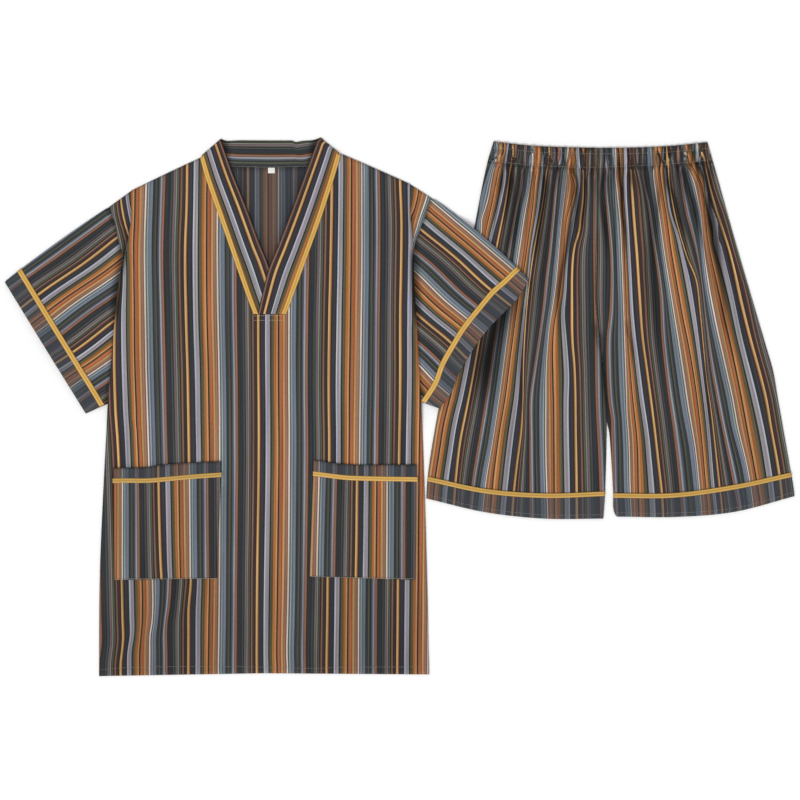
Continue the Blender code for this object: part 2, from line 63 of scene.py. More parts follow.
layout = {
    "millimetresInPixel": 1.45,
    "middlePixel": (399.5, 406.45),
    "topPlace": Vector((-196.5, -390.1, 0.0)),
    "shortsPlace": Vector((290.7, -162.8, 0.0)),
    "cloth": 1.2,
    "gap": 0.3,
}
topPlace = layout["topPlace"]
shortsPlace = layout["shortsPlace"]
cloth = layout["cloth"]
gap = layout["gap"]
pixel = layout["millimetresInPixel"]


# Small measures.

def within(value, low=0.0, high=1.0):
    return min(high, max(low, value))


def ease(value, low, high):
    share = within((value - low) / (high - low))
    return share * share * (3.0 - 2.0 * share)


def fade(value, full, end):
    # From 1 at full down to 0 at the end.
    return 1.0 - ease(value, full, end)


def band(value, low, lowFull, highFull, high):
    # Up from low to lowFull and down again from highFull to high.
    return ease(value, low, lowFull) * fade(value, highFull, high)


def mix(first, second, share):
    return first + (second - first) * share


def mixRows(first, second, share):
    return type(first)(*(mix(a, b, share) for a, b in zip(first, second)))


def smooth(stops, at):
    # A value read from (place, value) stops on a smooth curve that keeps to their order.
    places = [stop[0] for stop in stops]
    if at <= places[0]:
        return stops[0][1]
    if at >= places[-1]:
        return stops[-1][1]
    right = bisect_right(places, at)
    left = right - 1
    width = places[right] - places[left]
    rise = (stops[right][1] - stops[left][1]) / width

    def slope(here):
        if here == 0 or here == len(stops) - 1:
            return rise
        before = (stops[here][1] - stops[here - 1][1]) / (places[here] - places[here - 1])
        after = (stops[here + 1][1] - stops[here][1]) / (places[here + 1] - places[here])
        return (before + after) / 2.0

    share = (at - places[left]) / width
    start = slope(left) * width
    end = slope(right) * width
    cube = share ** 3
    square = share ** 2
    return ((2 * cube - 3 * square + 1) * stops[left][1] + (cube - 2 * square + share) * start
            + (3 * square - 2 * cube) * stops[right][1] + (cube - square) * end)


def toPixel(place, x, y):
    column, row = layout["middlePixel"]
    return column + (x + place.x) / pixel, row - (y + place.y) / pixel


def fromPixel(place, column, row):
    middle = layout["middlePixel"]
    return Vector(((column - middle[0]) * pixel - place.x, (middle[1] - row) * pixel - place.y))


def columnAt(pixels, row):
    # Where a line of pixels, given from its upper end to its lower one, crosses a row.
    return smooth([(y, x) for x, y in pixels], row)


def wander(x, y, size, seed):
    return noise.noise(Vector((x / size, y / size, seed)))


def swell(x, y, shape):
    # Soft ups and downs of a surface, from their height, size and seed.
    high, size, seed = shape
    return high * wander(x, y, size, seed)


def allShades(*shades):
    # Shades over one another: each takes its part of the light that the others leave.
    light = 1.0
    for shade in shades:
        light *= 1.0 - shade
    return 1.0 - light


def rounded(off, radius):
    # How full a rounded edge is at a distance from its end: 0 at the end, 1 past the radius.
    return math.sqrt(max(0.0, 1.0 - (1.0 - within(off / radius)) ** 2))


def table(kind, *rows):
    return tuple(kind(*row) for row in rows)


# Folds laid in one by one: a soft ridge, or a trough where high is below zero, between two pixels.
Crease = namedtuple("Crease", "start end half high")


def creased(creases, column, row):
    total = 0.0
    for crease in creases:
        start = Vector(crease.start)
        way = Vector(crease.end) - start
        along = (Vector((column, row)) - start).dot(way) / way.length_squared
        if not -0.1 < along < 1.1:
            continue
        off = (Vector((column, row)) - start - way * along).length / crease.half
        if off < 3.0:
            taper = ease(along, -0.1, 0.3) * fade(along, 0.7, 1.1)
            total += crease.high * math.exp(-off * off) * taper
    return total


# Sheets of cloth. Each spot of a sheet has its place, its place in the striped cut, whether the
# wrong side of the cloth is turned up there, and its painted shade, which darkens its colour
# (and lightens it where the shade is below zero).
Spot = namedtuple("Spot", "x y z across along turned shade")


def newPiece(name, shape, finishes):
    mesh = bpy.data.meshes.new(name)
    shape.to_mesh(mesh)
    shape.free()
    mesh.shade_smooth()
    for finish in finishes:
        mesh.materials.append(finish)
    piece = bpy.data.objects.new(name, mesh)
    bpy.context.scene.collection.objects.link(piece)
    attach(piece, "root")
    return piece


def layCloth(name, spots, place, finishes, slotName, wall=0.8, joined=False, capped=False):
    columns = len(spots) - 1
    rows = len(spots[0]) - 1
    shape = bmesh.new()
    bmesh.ops.create_grid(shape, x_segments=columns, y_segments=rows, size=0.5)
    cut = shape.loops.layers.uv.new("cut")
    turned = shape.verts.layers.float.new("turned")
    shade = shape.verts.layers.float.new("shade")
    spotOf = {}
    for point in shape.verts:
        spot = spots[round((point.co.x + 0.5) * columns)][round((point.co.y + 0.5) * rows)]
        spotOf[point] = spot
        point.co = (place + Vector((spot.x, spot.y, spot.z))) * mm
        point[turned] = spot.turned
        point[shade] = spot.shade
    for face in shape.faces:
        for corner in face.loops:
            spot = spotOf[corner.vert]
            corner[cut].uv = (spot.across * mm, spot.along * mm)
    if joined:
        bmesh.ops.remove_doubles(shape, verts=shape.verts, dist=0.00001)
    if capped:
        ends = [edge for edge in shape.edges if edge.is_boundary]
        bmesh.ops.holes_fill(shape, edges=ends, sides=0)
    piece = newPiece(name, shape, finishes)
    if wall:
        thicken = piece.modifiers.new("wall", "SOLIDIFY")
        thicken.thickness = wall * mm
        thicken.offset = -1.0
        thicken.use_even_offset = True
        thicken.material_offset = len(finishes) - 1
    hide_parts(slotName)
    return piece


tapeShape = {
    "wide": 7.0,
    "ribs": (-1.0, -0.93, -0.72, -0.36, 0.0, 0.36, 0.72, 0.93, 1.0),   # of half its width
    "high": 0.8,
    "groove": (0.25, 0.16),       # the stitched hollow along its middle, and how wide that is
    "wall": 0.5,
}


def layTape(name, route, place, slotName, shade=0.0):
    # A satin ribbon on a route of (middle, sideways, tilt) points, rounded down at its edges.
    half = tapeShape["wide"] / 2.0
    groove, grooveHalf = tapeShape["groove"]
    spots = []
    for rib in tapeShape["ribs"]:
        crown = math.sqrt(max(0.0, 1.0 - rib ** 4)) - groove * math.exp(-(rib / grooveHalf) ** 2)
        line = []
        along = 0.0
        before = route[0][0]
        for middle, side, tilt in route:
            along += (middle - before).length
            before = middle
            point = middle + side * half * rib
            high = point.z + crown * tapeShape["high"] + tilt * rib
            line.append(Spot(point.x, point.y, high, rib * half, along, 0.0, shade))
        spots.append(line)
    return layCloth(name, spots, place, [satin], slotName, wall=tapeShape["wall"])


# Shader wiring.

class Wire:
    # An output of a node. Sums of wires and numbers add Math nodes.
    def __init__(self, finish, socket):
        self.finish = finish
        self.socket = socket

    def __add__(self, other):
        return self.finish.work("ADD", self, other)

    def __sub__(self, other):
        return self.finish.work("SUBTRACT", self, other)

    def __rsub__(self, other):
        return self.finish.work("SUBTRACT", other, self)

    def __mul__(self, other):
        return self.finish.work("MULTIPLY", self, other)

    def __truediv__(self, other):
        return self.finish.work("DIVIDE", self, other)

    __radd__ = __add__
    __rmul__ = __mul__


class Finish:
    # A material and its Principled shader.
    def __init__(self, name, **constants):
        self.material = bpy.data.materials.new(name)
        self.material.use_nodes = True
        self.tree = self.material.node_tree
        self.shader = self.tree.nodes["Principled BSDF"]
        for socketName, value in constants.items():
            self.shader.inputs[socketName.replace("_", " ")].default_value = value

    def add(self, kind, settings, *values, output=0, **named):
        node = self.tree.nodes.new(kind)
        for setting, value in settings.items():
            if setting == "stops":
                self.fillRamp(node.color_ramp, value)
            else:
                setattr(node, setting, value)
        for number, value in enumerate(values):
            self.plug(node.inputs[number], value)
        for socketName, value in named.items():
            self.plug(node.inputs[socketName.replace("_", " ")], value)
        return Wire(self, node.outputs[output])

    def fillRamp(self, ramp, stops):
        ramp.interpolation = "CONSTANT"
        while len(ramp.elements) < len(stops):
            ramp.elements.new(1.0)
        for element, (place, colour) in zip(ramp.elements, stops):
            element.position = place
            element.color = colour

    def plug(self, socket, value):
        if isinstance(value, Wire):
            self.tree.links.new(value.socket, socket)
        else:
            socket.default_value = value

    def feed(self, socketName, wire):
        self.plug(self.shader.inputs[socketName], wire)

    def work(self, operation, *values):
        return self.add("ShaderNodeMath", {"operation": operation}, *values)

    def step(self, value, low, high, start, end):
        # A soft step from start, up to low, to end, from high on.
        return self.add("ShaderNodeMapRange", {"interpolation_type": "SMOOTHSTEP"}, value,
                        low, high, start, end)

    def mixColour(self, share, first, second, blend="MIX"):
        colour = self.add("ShaderNodeMix", {"data_type": "RGBA", "blend_type": blend}, output=2)
        sockets = colour.socket.node.inputs
        for number, value in ((0, share), (6, first), (7, second)):
            self.plug(sockets[number], value)
        return colour

    def times(self, colour, factor):
        return self.mixColour(1.0, colour, self.at(factor, factor, factor), "MULTIPLY")

    def attribute(self, name):
        return self.add("ShaderNodeAttribute", {"attribute_name": name}, output=2)

    def shaded(self, colour):
        return self.times(colour, 1.0 - self.attribute("shade"))

    def uv(self):
        place = self.add("ShaderNodeUVMap", {"uv_map": "cut"})
        across = self.add("ShaderNodeSeparateXYZ", {}, place)
        along = Wire(self, across.socket.node.outputs[1])
        return across, along

    def at(self, across, along, third=0.0):
        return self.add("ShaderNodeCombineXYZ", {}, across, along, third)

    def grain(self, place, size=1.0, detail=2.0, output=0):
        return self.add("ShaderNodeTexNoise", {"noise_dimensions": "3D"}, output=output,
                        Vector=place, Scale=size, Detail=detail)

    def emboss(self, strength, distance, height):
        bump = self.add("ShaderNodeBump", {}, Strength=strength, Distance=distance, Height=height)
        self.feed("Normal", bump)


def linear(colour):
    def channel(value):
        share = value / 255.0
        return share / 12.92 if share <= 0.04045 else ((share + 0.055) / 1.055) ** 2.4
    return tuple(channel(value) for value in colour) + (1.0,)


# The striped cotton: one repeat of its stripes, from the cream thread on, with each one's width
# and dye.
repeat = {
    "cream": (1.83, (217, 203, 189)), "ash": (2.04, (96, 100, 98)), "ice": (1.90, (150, 159, 164)),
    "deepSlate": (1.83, (104, 115, 126)), "slate": (3.52, (121, 127, 138)),
    "tealBlack": (1.97, (58, 65, 68)), "coal": (1.97, (70, 72, 70)), "oliveGrey": (2.25, (90, 91, 80)),
    "soot": (2.25, (58, 62, 60)), "slateGrey": (2.39, (88, 90, 101)),
    "lavender": (2.32, (148, 151, 157)), "mauveBrown": (1.55, (124, 100, 94)),
    "rust": (2.32, (150, 108, 92)), "umberGreen": (2.81, (66, 60, 49)), "navy": (3.23, (59, 64, 71)),
    "plumBlack": (1.97, (58, 56, 60)), "greenGrey": (2.11, (77, 82, 78)), "pine": (1.55, (59, 65, 62)),
    "mauve": (2.18, (119, 105, 108)), "deepMauve": (1.20, (98, 86, 90)),
    "stone": (1.48, (142, 142, 136)), "darkMoss": (1.48, (78, 80, 68)), "moss": (1.55, (93, 97, 84)),
    "darkUmber": (2.18, (71, 56, 48)), "roseBrown": (2.18, (134, 106, 95)),
    "redUmber": (1.34, (82, 58, 48)), "aubergine": (2.32, (69, 59, 61)),
    "oliveUmber": (1.57, (67, 57, 42)), "paleOchre": (2.25, (206, 172, 122)),
    "ochre": (1.35, (170, 124, 70)), "plum": (2.15, (70, 54, 57)), "charcoal": (3.80, (66, 66, 70)),
    "inkBlue": (1.88, (53, 60, 66)), "silver": (1.95, (180, 180, 190)),
    "mauveSilver": (2.74, (153, 148, 157)), "taupeSilver": (2.26, (160, 155, 158)),
    "bottleGreen": (2.00, (53, 57, 47)), "oliveStone": (2.25, (98, 94, 80)),
    "oliveBrown": (1.69, (110, 91, 63)), "amber": (3.16, (172, 114, 66)),
    "apricot": (2.25, (195, 149, 108)), "umber": (1.97, (68, 49, 26)), "taupe": (1.12, (138, 111, 90)),
    "terracotta": (2.67, (176, 108, 75)), "cinnamon": (1.55, (148, 92, 46)),
    "tan": (2.60, (187, 149, 107)), "brown": (1.48, (148, 112, 82)), "mauveTan": (2.11, (156, 122, 106)),
    "rosewood": (1.76, (134, 98, 86)),
}
repeatWide = sum(wide for wide, dye in repeat.values())
repeatStart = 218.35 * pixel      # where the cream thread lies on the chart

cotton = {
    "yarn": 0.75,                 # pitch of the weave
    "yarnDepth": 0.10,
    "bump": 0.55,
    "bright": 1.02,               # how bright the dyes are
    "deep": 1.11,                 # above 1, dark dyes are darker and all are stronger
    "waverWide": 0.7,             # how far a stripe's edge wavers
    "slub": 1.15,                 # how much the threads of one stripe differ
    "fineSlub": 0.5,
    "mottled": 0.25,
    "tint": 0.34,                 # and how much in colour
    "wrongSideGrey": (64, 69, 76),
    "wrongSideMute": 0.64,
    "wrongSideWeft": 0.3,
    "roughness": (0.80, 0.25),    # and how much the threads vary it
}
# Noise in the cotton: its pace across and along, its seed and its detail.
cottonNoise = {
    "waver": (60.0, 9.0, 0.0, 2.0),
    "groups": (480.0, 5.0, 0.0, 1.0),
    "threads": (1150.0, 7.0, 4.0, 1.0),
    "mottled": (420.0, 160.0, 0.0, 3.0),
    "hues": (520.0, 6.0, 9.0, 1.0),
    "weft": (900.0, 900.0, 0.0, 1.0),
}


def dyed(dye):
    strong = (cotton["bright"] * value ** cotton["deep"] for value in linear(dye)[:3])
    return tuple(strong) + (1.0,)


def halfRamp(finish, share, low, high):
    # The stripes of part of the repeat, as a ramp of hard steps.
    stops = []
    start = 0.0
    for wide, dye in repeat.values():
        left = start / repeatWide
        right = (start + wide) / repeatWide
        if right > low + 1e-6 and left < high - 1e-6:
            stops.append((max(0.0, (left - low) / (high - low)), dyed(dye)))
        start += wide
    return finish.add("ShaderNodeValToRGB", {"stops": stops}, (share - low) / (high - low))


def stripedCotton(name, insideUp):
    finish = Finish(name, Specular_IOR_Level=0.12, Sheen_Weight=0.02, Sheen_Roughness=0.5)
    across, along = finish.uv()

    def noisy(key, output=0):
        paceAcross, paceAlong, seed, detail = cottonNoise[key]
        place = finish.at(across * paceAcross, along * paceAlong, seed)
        return finish.grain(place, detail=detail, output=output)

    # Threads waver a little, so no stripe has a ruled edge.
    steady = across + (noisy("waver") - 0.5) * (cotton["waverWide"] * mm)
    share = finish.work("FRACT", (steady - repeatStart * mm) / (repeatWide * mm))
    first = halfRamp(finish, share, 0.0, 0.5)
    second = halfRamp(finish, share, 0.5, 1.0)
    colour = finish.mixColour(finish.work("GREATER_THAN", share, 0.5), first, second)
    # Groups of threads and single ones, lighter and darker, run along each stripe.
    threads = noisy("threads") - 0.5
    mottled = noisy("mottled") - 0.5
    slub = (noisy("groups") - 0.5) * cotton["slub"] + threads * cotton["fineSlub"]
    colour = finish.times(colour, 1.0 + (slub + mottled * cotton["mottled"]))
    tint = cotton["tint"]
    hues = finish.add("ShaderNodeVectorMath", {"operation": "MULTIPLY_ADD"}, noisy("hues", 1),
                      (tint,) * 3, (1.0 - tint / 2.0,) * 3)
    colour = finish.mixColour(1.0, colour, hues, "MULTIPLY")
    turned = finish.attribute("turned")
    if insideUp:
        turned = 1.0 - turned
    mute = turned * (cotton["wrongSideMute"] + (noisy("weft") - 0.5) * cotton["wrongSideWeft"])
    colour = finish.mixColour(mute, colour, linear(cotton["wrongSideGrey"]))
    finish.feed("Base Color", finish.shaded(colour))
    rough, roughVaries = cotton["roughness"]
    finish.feed("Roughness", rough + threads * roughVaries)
    turn = math.tau / (cotton["yarn"] * mm)
    weave = finish.work("SINE", across * turn) * finish.work("SINE", along * turn)
    finish.emboss(cotton["bump"], cotton["yarnDepth"] * mm, weave + threads * 1.5 + mottled)
    return finish.material


# Golden satin of the tapes: a painted highlight of sheen along a rib at each side, painted shade
# at its rims, where it rolls down, and a stitched, darker middle. A measure across is from the
# tape's middle, and a pair is where a soft step begins and ends.
tapeSatin = {
    "gold": (204, 157, 66),
    # the stitches' colour, also the painted shade of the rims
    "deep": (158, 108, 42),
    # painted highlight: the sheen on the side ribs
    "bright": (228, 190, 98),
    "middle": (0.0, 1.1),
    # the side ribs' painted highlight: how far out it lies, and how it fades
    "rib": 1.9,
    "ribHalf": (0.2, 1.1),
    # where the rims' painted shade begins and where it is full
    "rim": (2.6, 3.4),
    "stitchPitch": 2.6, "stitchPace": (0.62, 0.38),
    "weftPitch": 0.55,
    # how strong the ribs' painted highlight, the stitches and the rims' painted shade are
    "ribBright": 1.1, "stitchDark": 0.55, "rimDark": 0.7,
    "weftHigh": 0.4, "stitchDeep": 1.6,
    "cloud": (250.0, 70.0),
    "roughness": (0.36, 0.16),    # and how much the clouds add
}


def satinTape():
    finish = Finish("golden satin", Specular_IOR_Level=0.5, Sheen_Weight=0.15, Sheen_Roughness=0.35)
    across, along = finish.uv()

    def step(value, key, start, end):
        low, high = tapeSatin[key]
        return finish.step(value, low * mm, high * mm, start, end)

    off = finish.work("ABSOLUTE", across)
    # rib: the painted highlight along each side rib
    rib = step(finish.work("ABSOLUTE", off - tapeSatin["rib"] * mm), "ribHalf", 1.0, 0.0)
    pace = finish.work("SINE", along * (math.tau / (tapeSatin["stitchPitch"] * mm)))
    steadily, byStitch = tapeSatin["stitchPace"]
    stitch = step(off, "middle", 1.0, 0.0) * (steadily + pace * byStitch)
    cloudAcross, cloudAlong = tapeSatin["cloud"]
    cloudy = finish.grain(finish.at(across * cloudAcross, along * cloudAlong))
    colour = finish.mixColour(rib * cloudy * tapeSatin["ribBright"], linear(tapeSatin["gold"]),
                              linear(tapeSatin["bright"]))
    # the stitches darken the middle, and painted shade darkens the rims
    dark = stitch * tapeSatin["stitchDark"] + step(off, "rim", 0.0, 1.0) * tapeSatin["rimDark"]
    colour = finish.mixColour(dark, colour, linear(tapeSatin["deep"]))
    finish.feed("Base Color", finish.shaded(colour))
    weft = finish.work("SINE", along * (math.tau / (tapeSatin["weftPitch"] * mm)))
    high = weft * tapeSatin["weftHigh"] - stitch * tapeSatin["stitchDeep"]
    finish.emboss(0.4, 0.12 * mm, high)
    rough, roughVaries = tapeSatin["roughness"]
    finish.feed("Roughness", rough + cloudy * roughVaries)
    return finish.material


def plainThread(name, colour, roughness):
    # A twisted thread, from the piece's own coordinates.
    finish = Finish(name, Roughness=roughness, Sheen_Weight=0.1)
    fuzz = finish.grain(finish.add("ShaderNodeTexCoord", {}, output=3), 2500.0)
    dark = tuple(value * 0.8 for value in linear(colour)[:3]) + (1.0,)
    finish.feed("Base Color", finish.mixColour(fuzz, dark, linear(colour)))
    finish.emboss(0.3, 0.1 * mm, fuzz)
    return finish.material


striped = stripedCotton("striped cotton", False)
stripedInside = stripedCotton("striped cotton inside", True)
satin = satinTape()
paleThread = plainThread("pale thread", (158, 155, 145), 0.8)
creamThread = plainThread("cream thread", (226, 216, 190), 0.8)
labelCotton = plainThread("blank label cotton", (238, 238, 234), 0.6)
bothSides = [striped, stripedInside]
print("materials: striped cotton, golden satin, threads")


# Where the threads run: for a thread's place on the chart of the stripes, the pixels that the
# photo shows it at, from its upper end to its lower one.
topThreads = {
    118.2: ((118, 190), (117.5, 232), (118.5, 248), (120, 258), (121, 270), (115.5, 321.7), (114.7, 361.6),
        (116, 409.4), (118.7, 457.3), (122.1, 583), (122.7, 617.4), (123.3, 640.4), (120.8, 663.3)),
    126.9: ((126, 190), (125.6, 215), (124.5, 232), (122.8, 248), (123, 258), (123.8, 266), (123.5, 313.8),
        (124.3, 361.6), (125.9, 409.4), (127.9, 457.3), (131, 583), (131.6, 617), (131.9, 634.6),
        (129, 651.8), (129, 669)),
    134.7: ((131.9, 192), (131.7, 223), (131.1, 233), (130.8, 250), (131.3, 266), (131.4, 313)),
    138: ((135, 196), (134.6, 217), (134.2, 230), (133.7, 248), (134.4, 308), (134.9, 361), (136.4, 409)),
    148.5: ((146.1, 183.6), (144.7, 250), (145.5, 313.8), (146.1, 361.6), (147.4, 409), (148.7, 457),
        (152.6, 583), (152.9, 606), (152, 623), (149.9, 634.6), (149.7, 651.8), (149.5, 669)),
    166.5: ((164.5, 174.6), (162.6, 257.6), (163.5, 308), (166.9, 457), (170.9, 583), (169.2, 606),
        (166.7, 623), (166.7, 663)),
    188.7: ((187.5, 163.2), (187.1, 202), (185.2, 250), (186.1, 313.8), (187.6, 361.6), (188.5, 409.4),
        (189.2, 457.3), (191, 583), (189, 606), (188.7, 640.4), (188.5, 669)),
    197.4: ((195.8, 159.3), (194.8, 250), (195.4, 313.8), (196.8, 361.6), (197.6, 409.4), (198.6, 457),
        (199, 583), (197.9, 617), (197.7, 663)),
    219: ((217.4, 211.6), (217.2, 250), (217.8, 313.8), (218.8, 361.6), (219.5, 409.4), (219.5, 571.5),
        (219.1, 617), (218.3, 663)),
    259.2: ((258.5, 336), (259, 456), (258.2, 519.7), (257.2, 583.5), (256.9, 647.3)),
    289.5: ((289.3, 456), (288.8, 519.7), (288.2, 583.5), (286.9, 647)),
    329.7: ((332, 178.7), (331.6, 218.9), (330.8, 264.8), (329.7, 310.7), (328.8, 381), (329.5, 449.6),
        (327.9, 583.5), (326.7, 663)),
    360: ((361.6, 173), (361.6, 264.8), (361.3, 310.7), (359.4, 449.6), (358.6, 583.5), (358.3, 663)),
    400.2: ((400, 179.8), (401.4, 218.9), (401.1, 264.8), (400.3, 310.7), (400.3, 381), (399.3, 449.6),
        (398, 583.5), (397.4, 663)),
    407.2: ((408.2, 186), (408.3, 198), (408.7, 220), (409.0, 238), (408.6, 256), (407.7, 310.7)),
    410.9: ((411.2, 190), (411.3, 215), (412.2, 238), (411.6, 256), (411.2, 310.7)),
}
# Outside the crease of each shoulder, where a fold hides part of the cut.
shoulderThreads = {"left": {
    103: ((108, 205), (112.2, 222), (114, 232), (117.6, 245), (119, 256)),
    107.6: ((113.4, 205), (113.6, 209.6), (115.4, 221), (117.4, 228), (119.6, 236.9), (121.4, 243.6),
        (122.3, 249.4), (123, 256)),
    112.9: ((116.9, 198), (117.2, 201.6), (119.2, 216.8), (121.4, 223.5), (125.2, 236), (127.5, 246)),
    118.2: ((121, 196), (121.3, 200), (123.2, 211), (125, 223), (128.6, 233), (131.5, 242)),
    126.9: ((126.9, 195), (127.3, 199), (129, 210), (130.9, 219), (134, 232)),
    133: ((130.6, 192), (132.4, 205), (136, 219)),
}, "right": {
    412.5: ((410.8, 190), (410.4, 196), (408.6, 208), (406, 220)),
    418.4: ((417.3, 189), (416.8, 194), (414.8, 201.5), (411.9, 209), (409.4, 217)),
    420: ((418.7, 189), (416.6, 201.4), (413.6, 208.6), (412, 215.7), (410, 224)),
    422.4: ((421.2, 191), (418.4, 205), (415.2, 213), (413, 224), (411.5, 234)),
    430.5: ((427.4, 194), (423.2, 206.8), (419.6, 218), (417.4, 224.6), (415.2, 232.2), (413.2, 239.5),
        (412, 246)),
    436: ((432, 196.5), (428, 208.6), (424.8, 214.8), (420.4, 228.2), (417.4, 236), (415.2, 246)),
}}
pocketThreads = {"left": {
    138.5: ((113.8, 470), (114.3, 579)),
    148.5: ((122.6, 470), (122.4, 579)),
    166.5: ((138.4, 470), (139.2, 579)),
    188.7: ((158.7, 470), (159, 489), (161.2, 565.7), (162.1, 579)),
    219: ((189.6, 470), (190.4, 579)),
}, "right": {
    284: ((314.3, 470), (311.6, 535.7), (310.5, 575.5)),
    289.5: ((319.3, 470), (317.5, 535.7), (316.9, 575.5)),
    329.7: ((357.4, 470), (356.7, 535.7), (356.1, 575.5)),
    360: ((387, 470), (386.6, 575)),
    389.3: ((416, 470), (415.6, 575)),
}}
